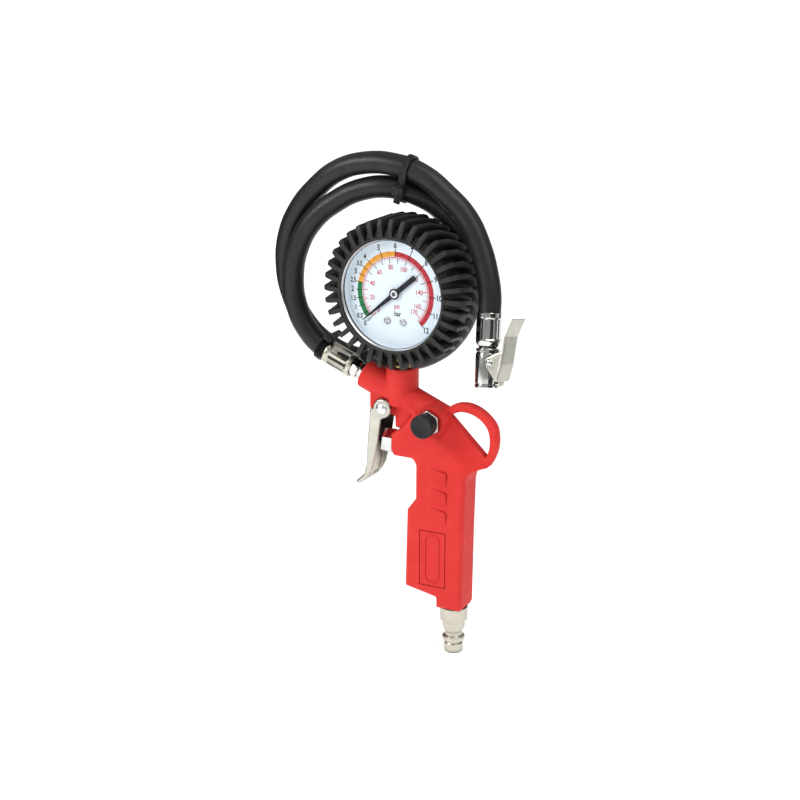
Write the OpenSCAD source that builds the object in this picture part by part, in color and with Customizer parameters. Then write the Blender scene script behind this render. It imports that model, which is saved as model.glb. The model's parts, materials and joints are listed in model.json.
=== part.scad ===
/* [Pistol body] */
// Thickness of the pistol body across its two flat sides
body_w = 17; // [16:0.5:19]
// Radius of the sloping barrel that feeds the hose
barrel_r = 7.6; // [7.2:0.1:8.2]
// Slope of the barrel below the horizontal
barrel_slope = 22.5; // [20:0.5:25]
// Length of the barrel along its own axis
barrel_len = 51; // [49:1:53]
// Radius of the upright boss under the gauge
boss_r = 8.5; // [8:0.1:9]
// Height of the top of the gauge boss
boss_top = 151.3; // [150:0.1:152]
// Thickness of the hanging ring across the body
ring_w = 5; // [4:0.5:7]

/* [Trigger and valve] */
// Height of the valve axis
valve_z = 109.5; // [108:0.5:111]
// Radius of the valve stem
stem_r = 2; // [1.8:0.1:2.2]
// Radius of the trigger's pivot pin
pivot_r = 2; // [1.5:0.1:2.2]
// Inner half width of the trigger channel
trigger_in = 7.5; // [7.3:0.1:7.8]
// Sheet thickness of the trigger
trigger_t = 1.2; // [1:0.1:1.5]

/* [Gauge] */
// Height of the dial's centre
gauge_z = 191; // [190:0.5:192]
// Outer radius of the steel gauge case
case_r = 31; // [30.5:0.1:31.5]
// Radius of the rubber boot between its lugs
boot_r = 34; // [33.5:0.1:35]
// Radius of the rubber boot at the lug tips
lug_tip_r = 39; // [38:0.5:40]
// Number of lugs round the boot
lug_count = 36; // [30:1:40]
// Radius of the visible dial inside the boot's lip
view_r = 28.6; // [28:0.1:29]

/* [Movement] */
// Module of the sector and pinion teeth
gear_module = 0.4; // [0.4:0.1:0.4]
// Teeth on the pinion
pinion_teeth = 12; // [12:1:12]
// Teeth on the full circle of the sector gear
sector_teeth = 72; // [72:1:72]

/* [Hose] */
// Outer radius of the hose
hose_r = 5.8; // [5.5:0.1:6]
// Radius of the hose bore
hose_bore_r = 2.9; // [2.5:0.1:3.1]

/* [Chuck] */
// Outer radius of the chuck body
chuck_r = 6; // [5.8:0.1:6.2]
// Radius of the mouth that goes over a tyre valve
mouth_r = 4.1; // [4:0.05:4.2]
// Depth of the mouth
mouth_len = 9; // [8:0.5:9.5]

/* [Hidden] */
$fn = 48;

red = [0.84, 0.13, 0.12];
nickel = [0.72, 0.71, 0.66];
steel = [0.76, 0.77, 0.78];
yellow_metal = [0.72, 0.56, 0.28];
black_rubber = [0.09, 0.09, 0.09];
black_plastic = [0.06, 0.06, 0.07];
dial_white = [0.9, 0.94, 0.98];

half_w = body_w / 2;
running = 0.05;
overshoot = 1;

// the barrel's outer end, on its axis
port = [-52.5, 0, 144.5];
port_thread_r = 4.75;
port_thread_len = 10;
barrel_bore_r = 3;
barrel_bore_len = 47;

// the pistol's main outline, from the foot round the back
foot_z = 23.2;
diag_low = [20.6, 106.5];
diag_high = [-4.5, 130.8];
diag_len = norm(diag_high - diag_low);
diag_turn = -atan2(diag_low[0] - diag_high[0], diag_high[1] - diag_low[1]);
body_outline = [
    [-7.2, foot_z], [6.6, foot_z], [7.6, 25.6], [8.3, 70], [9, 95], [10, 98.5],
    [12, 101], [15.7, 103], [19.6, 104.1], diag_low, diag_high,
    [-16, 134.5], [-22, 137], [-27.3, 136.2], [-27.3, 130.5], [-21.2, 127.9], [-28.6, 119],
    [-33.7, 116.2], [-34, 107.2], [-32.1, 104.1], [-21.2, 104], [-19.3, 101], [-19.4, 82.3],
    [-24.3, 75.7], [-25.4, 32.5], [-7.3, 29]
];
ring_outline = [
    [-5, 128], [-3.3, 133.4], [0.5, 135.2], [4.4, 136.2], [9.8, 136.1], [15.2, 134], [20.6, 130],
    [23.5, 126.1], [24.6, 120], [24.1, 113.8], [21.9, 108], [19.6, 104.1], [15, 106]
];
ring_hole = [
    [-4.5, 126], [-0.8, 129.5], [2.4, 130.9], [6.3, 131.2], [11, 130.2], [15.3, 127.6],
    [18.5, 124], [19.6, 119.3], [19.5, 114.5], [18.2, 110.5], [15, 106]
];
web_half = 4.5;
lug_half = 7;
web_outline = [[-46.6, 136], [-46.6, 128.5], [-44.4, 125.3], [-41.6, 123.8], [-38, 123.8],
    [-35.2, 126], [-32.8, 124.6], [-32.6, 119], [-24, 118], [-10, 124], [-24, 133]];
lug_outline = [[-46.6, 139], [-46.6, 128.5], [-44.4, 125.3], [-41.6, 123.8], [-38, 123.8],
    [-35.2, 126], [-33, 130], [-30, 134]];
label_low = [-16.4, 35.3];
label_size = [15.2, 31];
label_depth = 0.5;

// air passages
inlet_r = 3.8;
plug_thread_r = 5.7;
plug_thread_top = 36;
gland_r = 5;
block_face_x = -34;
chamber_end_x = 2;
outlet_x = -22;
outlet_r = 2.2;

// bleed valve on the near flat side
bleed = [-10.2, 126.2];
bleed_boss_r = 8;
bleed_boss_y = -10.3;
bleed_thread_r = 4;

// trigger
pivot = [-38.6, 129.1];
ear_r = 5.2;

// gauge
gauge_x = -30.7;
dial_y = -8;
plate_front_y = -6.6;
plate_back_y = 1;
staff_r = 0.6;
pitch_pinion = gear_module * pinion_teeth / 2;
pitch_sector = gear_module * sector_teeth / 2;
centre_gap = pitch_pinion + pitch_sector;
arbor_z = -centre_gap;
tail_len = 4;
tube_r = 20;
tube_start = 258;
tube_sweep = 262;

// hose and chuck
ferrule_len = 16.7;
nipple_gap = 7.3;
route = [
    [-62, 0, 148.5], [-75, 0, 154], [-86, 0, 162.5], [-93.5, 0, 176], [-95.5, 0, 192],
    [-92.5, 1, 208], [-84.5, 2.5, 222], [-71.5, 4.5, 233], [-57, 6.3, 240], [-42, 8.4, 242],
    [-29, 12, 238.8], [-17, 17, 231], [-8.2, 19.8, 219], [-3, 20.8, 206], [-1, 20.8, 192],
    [-4, 20.8, 178], [-11, 20.8, 165], [-22, 20.8, 155], [-37, 20.8, 148.5], [-53, 20, 145.6],
    [-69, 17.5, 147], [-84, 14.5, 153.5], [-96, 12.8, 164.5], [-103, 11.2, 179],
    [-105.3, 9.5, 195], [-103, 8.5, 211.5], [-96, 8, 226], [-84.5, 7.6, 239], [-71, 7, 248.8],
    [-55, 7, 253.7], [-39, 7.2, 253.8], [-24, 7.6, 249.8], [-10, 7.6, 240.5], [1.5, 7.2, 230],
    [9.5, 6, 216.5], [14.6, 4, 203.5], [17.3, 1.9, 192.8], [18, 0, 184.7],
    [18.8, -3, 171.6]
];
hose_sides = 12;
chuck_top = [18, 0, 184.7];
chuck_lean = [-13, -4, 0];
chuck_ferrule_len = 17;
body_top = -17.6;
mouth_z = -37.4;
lever_pivot = [4.2, -24.4];
lever_in = 6.35;
lever_t = 1;
tie_centre = [-32.2, 8.7, 246.8];
tie_turn = [0, 105, 0];
tie_roll = 12;
tie_half = 6.05;

// ---------- placing helpers ----------
// an outline in X and Z, made solid between two depths
module plate(y0, y1) {
    translate([0, y1, 0]) rotate([90, 0, 0]) linear_extrude(y1 - y0) children();
}
// a round bar along Y
module bar_y(x, z, y0, y1, r) {
    translate([x, y1, z]) rotate([90, 0, 0]) cylinder(r = r, h = y1 - y0);
}
// a round bar along X
module bar_x(x0, x1, z, r) {
    translate([x0, 0, z]) rotate([0, 90, 0]) cylinder(r = r, h = x1 - x0);
}
module in_barrel() {
    translate(port) rotate([0, 90 + barrel_slope, 0]) children();
}
module in_gauge() {
    translate([gauge_x, 0, gauge_z]) children();
}
module in_chuck() {
    translate(chuck_top) rotate(chuck_lean) children();
}
module in_tie() {
    translate(tie_centre) rotate(tie_turn) rotate([0, 0, tie_roll]) children();
}
// a ring turned about Y, between two depths
module ring_y(y0, y1, r_in, r_out) {
    difference() {
        bar_y(0, 0, y0, y1, r_out);
        bar_y(0, 0, y0 - overshoot, y1 + overshoot, r_in);
    }
}
// a closed coil of wire, axis Z, from z = 0 up to len
module coil(len, r, wire_r, turns, sides = 6, steps = 12) {
    n = turns * steps;
    tilt = atan2(len / turns, 2 * PI * r);
    pts = [for (i = [0:n]) let (a = 360 * i / steps, z = len * i / n)
        for (k = [0:sides - 1]) let (b = 360 * k / sides, u = wire_r * cos(b), v = wire_r * sin(b))
            [(r + u) * cos(a) + v * sin(tilt) * sin(a),
             (r + u) * sin(a) - v * sin(tilt) * cos(a), z + v * cos(tilt)]];
    sides_f = [for (i = [0:n - 1]) for (k = [0:sides - 1]) let (m = (k + 1) % sides)
        for (f = [[i * sides + k, i * sides + m, (i + 1) * sides + m],
                  [i * sides + k, (i + 1) * sides + m, (i + 1) * sides + k]]) f];
    ends_f = [[for (k = [sides - 1:-1:0]) k], [for (k = [0:sides - 1]) n * sides + k]];
    polyhedron(pts, [for (f = concat(sides_f, ends_f)) [for (j = [len(f) - 1:-1:0]) f[j]]]);
}
function unit(v) = v / norm(v);

// ---------- pistol body ----------
module body_blank() {
    difference() {
        plate(-half_w, half_w) polygon(body_outline);
        // the sloping facets beside the hanging ring
        translate([diag_low[0], 0, diag_low[1]]) rotate([0, diag_turn, 0])
            translate([0, 0, -6]) for (s = [0, 1]) mirror([0, s, 0])
                linear_extrude(diag_len + 12)
                    polygon([[-12, half_w + 0.35], [1, ring_w / 2 - 0.7], [1, 12], [-12, 12]]);
    }
    plate(-ring_w / 2, ring_w / 2) difference() {
        polygon(ring_outline);
        polygon(ring_hole);
    }
    plate(-web_half, web_half) polygon(web_outline);
    plate(-lug_half, lug_half) polygon(lug_outline);
    in_barrel() cylinder(r = barrel_r, h = barrel_len);
    translate([gauge_x, 0, 137]) cylinder(r = boss_r, h = boss_top - 137);
    bar_y(bleed[0], bleed[1], bleed_boss_y, 0, bleed_boss_r);
}
module pistol_body() color(red) difference() {
    body_blank();
    // inlet passage and plug thread
    translate([0, 0, foot_z - overshoot]) cylinder(r = inlet_r, h = valve_z - foot_z + overshoot);
    translate([0, 0, foot_z - overshoot]) cylinder(r = plug_thread_r, h = plug_thread_top - foot_z);
    // valve chamber
    bar_x(block_face_x - overshoot, chamber_end_x, valve_z, gland_r);
    // outlet to the barrel
    translate([outlet_x, 0, valve_z]) cylinder(r = outlet_r, h = 24);
    in_barrel() translate([0, 0, -overshoot]) cylinder(r = barrel_bore_r, h = barrel_bore_len);
    in_barrel() translate([0, 0, -overshoot])
        cylinder(r = port_thread_r, h = port_thread_len + overshoot);
    // gauge port
    translate([gauge_x, 0, 135]) cylinder(r = 2, h = 10);
    translate([gauge_x, 0, 142]) cylinder(r = 4.8, h = 12);
    // bleed port
    bar_y(bleed[0], bleed[1], bleed_boss_y - overshoot, -0.8, bleed_thread_r);
    // trigger pivot
    bar_y(pivot[0], pivot[1], -9, 9, pivot_r);
    // recessed label panels
    for (s = [-1, 1])
        plate(s * half_w - label_depth, s * half_w + label_depth)
            translate(label_low) square(label_size);
}

// ---------- air inlet ----------
module air_plug() color(nickel) difference() {
    rotate_extrude() polygon([
        [0, -2.7], [4.4, -2.7], [4.9, -2.2], [4.9, 2.2], [4.4, 2.8], [4.4, 3.8], [6, 4.3], [6, 6.3],
        [4.6, 7.1], [4.6, 8.8], [6, 11.8], [6, 15.7], [7.4, 15.7], [7.4, foot_z - 1],
        [plug_thread_r, foot_z - 1], [plug_thread_r, 33], [0, 33]]);
    translate([0, 0, -5]) cylinder(r = 3, h = 50);
}
module plug_seal() color(black_rubber) translate([0, 0, foot_z - 1]) difference() {
    cylinder(r = 7.1, h = 1);
    translate([0, 0, -overshoot]) cylinder(r = plug_thread_r, h = 3);
}

// ---------- air valve ----------
gland_x = -41.1;
gland_end_x = -25.5;
gland_flats = 12;
o_ring_x = -30.5;
seat_x = -18;
washer_x = -12;
poppet_x = -10.9;
spring_x = -9.4;
stem_tip_x = -45.4;
stem_tip_len = 0.6;
stem_waist_r = 1.4;
stem_waist_x = -24;
poppet_r = 4.2;
module valve_gland_nut() color(steel) difference() {
    union() {
        translate([gland_x, 0, valve_z]) rotate([0, 90, 0]) intersection() {
            cylinder(r = gland_flats / sqrt(3), h = block_face_x - gland_x, $fn = 6);
            cylinder(r1 = 6, r2 = 13, h = 7);
        }
        bar_x(block_face_x - 0.5, gland_end_x, valve_z, gland_r);
    }
    bar_x(gland_x - overshoot, gland_end_x + overshoot, valve_z, stem_r + running);
    bar_x(o_ring_x - 0.7, o_ring_x + 0.7, valve_z, 3.3);
}
module valve_o_ring() color(black_rubber) translate([o_ring_x, 0, valve_z]) rotate([0, 90, 0])
    rotate_extrude() translate([stem_r + running + 0.6, 0]) circle(r = 0.58, $fn = 16);
module valve_seat() color(yellow_metal) difference() {
    bar_x(seat_x, washer_x - 0.05, valve_z, gland_r);
    bar_x(seat_x - overshoot, washer_x + overshoot, valve_z, 3);
}
module valve_stem() color(steel) {
    translate([stem_tip_x, 0, valve_z]) rotate([0, 90, 0])
        cylinder(r1 = stem_r - stem_tip_len, r2 = stem_r, h = stem_tip_len);
    bar_x(stem_tip_x + stem_tip_len, stem_waist_x, valve_z, stem_r);
    bar_x(stem_waist_x, poppet_x, valve_z, stem_waist_r);
    bar_x(poppet_x, spring_x, valve_z, poppet_r);
    bar_x(spring_x, spring_x + 3, valve_z, stem_waist_r);
}
module valve_washer() color(black_rubber) difference() {
    bar_x(washer_x, poppet_x, valve_z, poppet_r);
    bar_x(washer_x - overshoot, poppet_x + overshoot, valve_z, stem_waist_r);
}
module valve_spring() color(steel) translate([spring_x + 0.35, 0, valve_z]) rotate([0, 90, 0])
    coil(chamber_end_x - spring_x - 0.7, 3, 0.32, 5);

// ---------- trigger ----------
trigger_cheek = [
    [-45.6, 128], [-46, 121.9], [-47.3, 108], [-47.9, 96.8], [-49.3, 91.6], [-52.2, 88.9],
    [-54.3, 86.9], [-53.6, 85.8], [-51.4, 86.2], [-48.9, 88], [-46.7, 90.8], [-44.4, 94.7],
    [-41.9, 106.1], [-40.1, 117.3], [-39.2, 123], [-36, 125.2], [-40, 131]
];
trigger_web = [
    [-46, 121.9], [-47.3, 108], [-47.9, 96.8], [-49.3, 91.6], [-52.2, 88.9],
    [-54.3, 86.9], [-53.6, 85.8], [-51.4, 87.8], [-48.2, 91], [-46.6, 96.6], [-46, 107.9],
    [-44.7, 121.8]
];
module trigger() color(nickel) difference() {
    union() {
        plate(-trigger_in - trigger_t, trigger_in + trigger_t) polygon(trigger_web);
        for (s = [-1, 1]) {
            y0 = s < 0 ? -trigger_in - trigger_t : trigger_in;
            plate(y0, y0 + trigger_t) polygon(trigger_cheek);
            bar_y(pivot[0], pivot[1], y0, y0 + trigger_t, ear_r);
        }
    }
    bar_y(pivot[0], pivot[1], -12, 12, pivot_r + running);
}
module trigger_pin() color(steel) {
    bar_y(pivot[0], pivot[1], -9.2, 9.2, pivot_r);
    for (s = [0, 1]) mirror([0, s, 0])
        translate([pivot[0], -9, pivot[1]]) rotate([90, 0, 0]) cylinder(r1 = 3.2, r2 = 2.2, h = 1.1);
}

// ---------- bleed valve ----------
bush_front_y = -12.8;
bush_flats = 12;
neck_front_y = -16.2;
cap_back_y = -15.1;
cap_front_y = -19.8;
module in_bleed() { translate([bleed[0], 0, bleed[1]]) children(); }
module bleed_bush() color(steel) in_bleed() difference() {
    union() {
        translate([0, bleed_boss_y, 0]) rotate([90, 30, 0])
            cylinder(r = bush_flats / sqrt(3), h = bleed_boss_y - bush_front_y, $fn = 6);
        bar_y(0, 0, bleed_boss_y - 0.5, -5, bleed_thread_r);
        bar_y(0, 0, neck_front_y, bush_front_y + 0.5, 4.4);
    }
    bar_y(0, 0, -20, -3, 1.2 + running);
    bar_y(0, 0, -18, -13.2, 3.4);
}
module bleed_seal() color(black_rubber) in_bleed() ring_y(-4.95, -4, 0.8, 2.6);
module bleed_stem() color(steel) in_bleed() {
    bar_y(0, 0, -18.3, -5, 1.2);
    bar_y(0, 0, -5, -4, 0.8);
    bar_y(0, 0, -4, -3.3, 2.6);
}
module bleed_spring() color(steel) in_bleed() translate([0, -13.55, 0]) rotate([90, 0, 0])
    coil(4.35, 2.4, 0.3, 4);
module bleed_bellows() color(black_rubber) in_bleed()
    ring_y(cap_back_y + 0.05, bush_front_y - 0.05, 4.6, 5.9);
module bleed_cap() color(black_plastic) in_bleed() difference() {
    bar_y(0, 0, cap_front_y, cap_back_y, 6.2);
    bar_y(0, 0, -18.3, cap_back_y + overshoot, 4.7);
    bar_y(0, 0, -18.4, -18, 1.2);
}

// ---------- gauge ----------
case_back_y = 12;
case_front_y = -11.5;
module gauge_socket() color(yellow_metal) difference() {
    union() {
        translate([gauge_x, 0, 142.5]) cylinder(r = 4.75, h = 20);
        translate([gauge_x, 0, boss_top]) cylinder(r = 12.6 / sqrt(3), h = 2.6, $fn = 6);
        translate([gauge_x - 5.5, 2, gauge_z - 29.3]) cube([11, 8.5, 10.5]);
        translate([gauge_x, 5, 155]) cylinder(r = 4, h = 8);
    }
    translate([gauge_x, 0, 140]) cylinder(r = 1.2, h = 18);
}
module gauge_case() color(black_plastic) in_gauge() difference() {
    bar_y(0, 0, case_front_y, case_back_y, case_r);
    bar_y(0, 0, case_front_y - overshoot, case_back_y - 1, case_r - 1);
    translate([0, 0, -case_r - 3]) cylinder(r = 5.6, h = 8);
    translate([0, 5, -case_r - 3]) cylinder(r = 5.6, h = 8);
}
module boot_blank() {
    difference() {
        union() {
            bar_y(0, 0, -14.2, 13.2, boot_r);
            for (i = [0:lug_count - 1]) rotate([0, 360 * i / lug_count, 0])
                plate(-12.4, 11.6) polygon([
                    [-1.9, boot_r - 0.5], [1.9, boot_r - 0.5], [1.3, lug_tip_r], [-1.3, lug_tip_r]]);
        }
        bar_y(0, 0, -12.95, case_back_y, case_r);
        bar_y(0, 0, -16, 0, view_r);
        bar_y(0, 0, 0, 16, 26);
        translate([0, 0, -lug_tip_r - 3]) cylinder(r = 8, h = 12);
        translate([-8, 0, -lug_tip_r - 3]) cube([16, 6, 12]);
        translate([0, 6, -lug_tip_r - 3]) cylinder(r = 8, h = 12);
    }
}
module gauge_boot() color(black_rubber) in_gauge() boot_blank();
module gauge_bezel() color(steel) in_gauge() difference() {
    bar_y(0, 0, -12.95, case_front_y, case_r);
    translate([0, -13, 0]) rotate([-90, 0, 0]) cylinder(r1 = view_r, r2 = 27.4, h = 2);
}
module gauge_lens() color([0.85, 0.9, 0.92, 0.35]) in_gauge() bar_y(0, 0, case_front_y, -10, 29.5);
screw_x = 4.5;
screw_z = -14.5;
module gauge_dial() color(dial_white) in_gauge() difference() {
    bar_y(0, 0, dial_y, dial_y + 0.6, 29);
    bar_y(0, 0, dial_y - overshoot, dial_y + 2, 1.4);
    for (s = [-1, 1]) bar_y(s * screw_x, screw_z, dial_y - overshoot, dial_y + 2, 0.8);
}
module dial_screws() color(steel) in_gauge() for (s = [-1, 1]) {
    bar_y(s * screw_x, screw_z, dial_y, plate_front_y + 0.9, 0.8);
    bar_y(s * screw_x, screw_z, dial_y - 0.8, dial_y, 1.6);
}
pointer_turn = -130;
module pointer() color(black_plastic) in_gauge() rotate([0, pointer_turn, 0]) difference() {
    union() {
        plate(-9.3, -8.9) polygon([[-0.25, 24], [0.25, 24], [0.8, 2], [0.9, 0], [1.3, -2],
            [1.3, -15.3], [-1.3, -15.3], [-1.3, -2], [-0.9, 0], [-0.8, 2]]);
        bar_y(0, 0, -9.7, -8.5, 1.8);
    }
    bar_y(0, 0, -12, 0, staff_r);
}
// an outline with the given number of involute teeth, one of them centred on +X
module gear_shape(teeth) {
    pitch = gear_module * teeth / 2;
    root = pitch - 1.2 * gear_module;
    tip = pitch + 0.9 * gear_module;
    base = pitch * cos(20);
    // half the angle of a tooth at the base circle, less a little for backlash
    inv = function (a) tan(a) * 180 / PI - a;
    half = 90 / teeth + inv(20) - 4 / teeth;
    flank = [for (r = [max(base, root), pitch, (pitch + tip) / 2, tip])
        let (a = acos(min(1, base / r))) [r, half - inv(a)]];
    for (i = [0:teeth - 1]) rotate(360 * i / teeth) polygon(concat(
        [[root * cos(half) - 0.3, -root * sin(half)]],
        [for (p = flank) [p[0] * cos(p[1]), -p[0] * sin(p[1])]],
        [for (k = [3:-1:0]) let (p = flank[k]) [p[0] * cos(p[1]), p[0] * sin(p[1])]],
        [[root * cos(half) - 0.3, root * sin(half)]]));
    circle(r = root);
}
module pinion() color(steel) in_gauge() {
    plate(-4.2, -1.2) rotate(90 + 180 / pinion_teeth) gear_shape(pinion_teeth);
    bar_y(0, 0, -10, plate_back_y + 0.9, staff_r);
}
// a flat spiral of thin strip round the pinion staff
spiral_turns = 3;
spiral_in = 1.2;
spiral_step = 0.9;
spiral_points = spiral_turns * 16;
function spiral_at(i, w) = let (a = 360 * i / 16, r = spiral_in + spiral_step * i / 16 + w)
    [r * cos(a), r * sin(a)];
module hairspring() color(yellow_metal) in_gauge() plate(-5.3, -4.7)
    polygon(concat([for (i = [0:spiral_points]) spiral_at(i, 0)],
                   [for (i = [spiral_points:-1:0]) spiral_at(i, 0.2)]));
module movement_plate(y) {
    difference() {
        plate(y, y + 1) polygon([[-10, -23.5], [10, -23.5], [10, 6], [7, 9], [-7, 9], [-10, 6]]);
        bar_y(0, 0, y - overshoot, y + 2, staff_r + running);
        bar_y(0, arbor_z, y - overshoot, y + 2, staff_r + running);
        for (p = posts) bar_y(p[0], p[1], y - overshoot, y + 2, 0.8);
        if (y < 0) for (s = [-1, 1]) bar_y(s * screw_x, screw_z, y - overshoot, y + 2, 0.8);
    }
}
posts = [[-8.4, 6.2], [8.4, 6.2], [-8.2, -21.6], [8.2, -21.6]];
module front_plate() color(yellow_metal) in_gauge() movement_plate(plate_front_y);
module back_plate() color(yellow_metal) in_gauge() movement_plate(plate_back_y);
module plate_posts() color(yellow_metal) in_gauge() for (p = posts) {
    bar_y(p[0], p[1], plate_front_y + 1, plate_back_y, 1.2);
    bar_y(p[0], p[1], plate_front_y, plate_back_y + 1, 0.8);
}
// the wedge of the full gear that the sector keeps, wide enough for the pointer's whole travel
sector_cut = [[0, 0], [-2.2, 25], [17.2, 17], [17.9, 13.4]];
module sector_gear() color(yellow_metal) in_gauge() difference() {
    plate(-3.2, -2.2) translate([0, arbor_z]) union() {
        intersection() {
            rotate(90) gear_shape(sector_teeth);
            polygon(sector_cut);
        }
        circle(r = 2.2);
        translate([-1.3, -tail_len]) square([2.6, tail_len]);
        translate([0, -tail_len]) circle(r = 1.3);
    }
    bar_y(0, arbor_z, -5, 0, staff_r);
    bar_y(0, arbor_z - tail_len, -5, 0, 0.5 + running);
}
module sector_arbor() color(steel) in_gauge()
    bar_y(0, arbor_z, plate_front_y + 0.1, plate_back_y + 0.9, staff_r);
link_end = [16.4, -5.6];
module bourdon_link() color(steel) in_gauge() {
    from = [0, arbor_z - tail_len];
    along = link_end - from;
    plate(-1.9, -1.1) translate(from) rotate(atan2(along[1], along[0])) {
        circle(r = 1.1);
        translate([0, -0.6]) square([norm(along), 1.2]);
        translate([norm(along), 0]) circle(r = 1.1);
    }
    bar_y(from[0], from[1], -3.6, -1.1, 0.5);
}
module bourdon_tube() color(yellow_metal) in_gauge() {
    difference() {
        rotate([90, 0, 0]) rotate([0, 0, tube_start - tube_sweep])
            rotate_extrude(angle = tube_sweep) translate([tube_r - 1.1, -8.8]) square([2.2, 5.4]);
        rotate([90, 0, 0]) rotate([0, 0, tube_start - tube_sweep + 2])
            rotate_extrude(angle = tube_sweep - 4) translate([tube_r - 0.6, -8.3]) square([1.2, 4.4]);
    }
    // end block that carries the link
    plate(-0.6, 8.8) translate([link_end[0], link_end[1]]) square([5.2, 4.8]);
}

// ---------- hose ----------
module hose_nipple() color(steel) in_barrel() difference() {
    union() {
        cylinder(r = port_thread_r, h = port_thread_len - 0.5);
        translate([0, 0, -nipple_gap]) cylinder(r = 5, h = nipple_gap);
        translate([0, 0, -nipple_gap - 14]) cylinder(r = hose_bore_r, h = 14.5);
    }
    translate([0, 0, -30]) cylinder(r = 1.8, h = 50);
}
module hose_ferrule() color(nickel) in_barrel() difference() {
    translate([0, 0, -nipple_gap - ferrule_len]) cylinder(r = 6.3, h = ferrule_len);
    translate([0, 0, -nipple_gap - ferrule_len - overshoot]) cylinder(r = hose_r, h = ferrule_len);
    translate([0, 0, -nipple_gap - 5]) cylinder(r = hose_bore_r, h = 6);
}
// a hollow tube swept along points, with its rings square to the path
module tube(path, r_out, r_in, sides) {
    n = len(path) - 1;
    tangent = [for (i = [0:n]) unit(path[min(i + 1, n)] - path[max(i - 1, 0)])];
    // each ring starts at the side nearest to one fixed direction, so the tube doesn't twist
    ahead = [for (t = tangent) unit([0, 1, 0] - t * t[1])];
    pts = [for (r = [r_out, r_in]) for (i = [0:n]) for (k = [0:sides - 1])
        let (a = 360 * k / sides, u = ahead[i], v = cross(tangent[i], u))
            path[i] + r * (cos(a) * u + sin(a) * v)];
    inner = (n + 1) * sides;
    skin = [for (i = [0:n - 1]) for (k = [0:sides - 1])
        let (a = i * sides + k, b = i * sides + (k + 1) % sides, c = a + sides, d = b + sides)
            for (f = [[a, c, d], [a, d, b],
                      [inner + a, inner + d, inner + c], [inner + a, inner + b, inner + d]]) f];
    caps = [for (k = [0:sides - 1]) let (m = (k + 1) % sides, e = n * sides)
        for (f = [[k, m, inner + m], [k, inner + m, inner + k],
                  [e + m, e + k, inner + e + k], [e + m, inner + e + k, inner + e + m]]) f];
    polyhedron(pts, concat(skin, caps));
}
module hose() color(black_rubber) tube(route, hose_r, hose_bore_r, hose_sides);
module stadium(r) {
    for (s = [-1, 1]) translate([s * tie_half, 0]) circle(r = r);
    square([2 * tie_half, 2 * r], center = true);
}
module cable_tie() color(black_plastic) in_tie() {
    translate([0, 0, -2.2]) linear_extrude(4.4) difference() {
        stadium(7);
        stadium(5.95);
    }
    translate([1.2, -10.6, -3.1]) cube([5, 4.2, 6.2]);
}

// ---------- chuck ----------
module chuck_ferrule() color(steel) in_chuck() difference() {
    translate([0, 0, -chuck_ferrule_len]) cylinder(r = 6.3, h = chuck_ferrule_len);
    translate([0, 0, -chuck_ferrule_len + 2]) cylinder(r = hose_r, h = chuck_ferrule_len);
    translate([0, 0, -chuck_ferrule_len - overshoot]) cylinder(r = hose_bore_r, h = 5);
}
module chuck_nipple() color(steel) in_chuck() difference() {
    union() {
        translate([0, 0, -chuck_ferrule_len]) cylinder(r = hose_bore_r, h = 14);
        translate([0, 0, body_top]) cylinder(r = 4.6, h = -body_top - chuck_ferrule_len);
        translate([0, 0, body_top - 3.4]) cylinder(r = 3.5, h = 4);
    }
    translate([0, 0, -30]) cylinder(r = 1.5, h = 40);
}
seal_z = mouth_z + mouth_len;
seal_t = 1.6;
depressor_t = 0.8;
pocket_r = 4.6;
module chuck_body() color(steel) in_chuck() difference() {
    translate([0, 0, mouth_z]) cylinder(r = chuck_r, h = body_top - mouth_z);
    translate([0, 0, mouth_z - overshoot]) cylinder(r = mouth_r, h = mouth_len + overshoot);
    translate([0, 0, seal_z]) cylinder(r = pocket_r, h = seal_t + depressor_t);
    translate([0, 0, mouth_z]) cylinder(r = 1.5, h = 30);
    translate([0, 0, body_top - 3.4]) cylinder(r = 3.5, h = 5);
    bar_y(lever_pivot[0], lever_pivot[1], -9, 9, 1);
    // window that lets the lever's claw into the mouth
    translate([2.6, -2.2, mouth_z + 0.8]) cube([6, 4.4, 4.2]);
}
module chuck_seal() color(black_rubber) in_chuck() translate([0, 0, seal_z]) difference() {
    cylinder(r = pocket_r, h = seal_t);
    translate([0, 0, -overshoot]) cylinder(r = 1.9, h = 4);
}
// a pin on a pierced disc, which opens the tyre valve
module chuck_depressor() color(yellow_metal) in_chuck() translate([0, 0, seal_z]) difference() {
    union() {
        translate([0, 0, 0.2]) cylinder(r = 0.8, h = seal_t);
        translate([0, 0, seal_t]) cylinder(r = pocket_r, h = depressor_t);
    }
    for (s = [-1, 1]) translate([s * 1.45, 0, 0]) cylinder(r = 0.5, h = 4);
}
lever_cheek = [
    [15.9, -2.4], [12.2, -11.1], [11.7, -16], [10.5, -18.4], [7, -19.6], [3, -21.9], [1.7, -24],
    [2, -26], [4.6, -29.6], [7.6, -33.9], [9.2, -33.6], [11.3, -25], [12.3, -16], [12.9, -11.1],
    [16.6, -2.1]
];
lever_plate = [
    [15.4, -2.5], [11.6, -11.2], [11.2, -16], [10.1, -25], [8, -33.8], [9.2, -33.6], [11.3, -25],
    [12.3, -16], [12.9, -11.1], [16.6, -2.1]
];
claw = [
    [8, -33.2], [9.2, -33.6], [8.6, -35.9], [7.4, -36.3], [4.25, -36], [4.25, -34.6], [7.2, -34.9],
    [7.6, -34.4]
];
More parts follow.
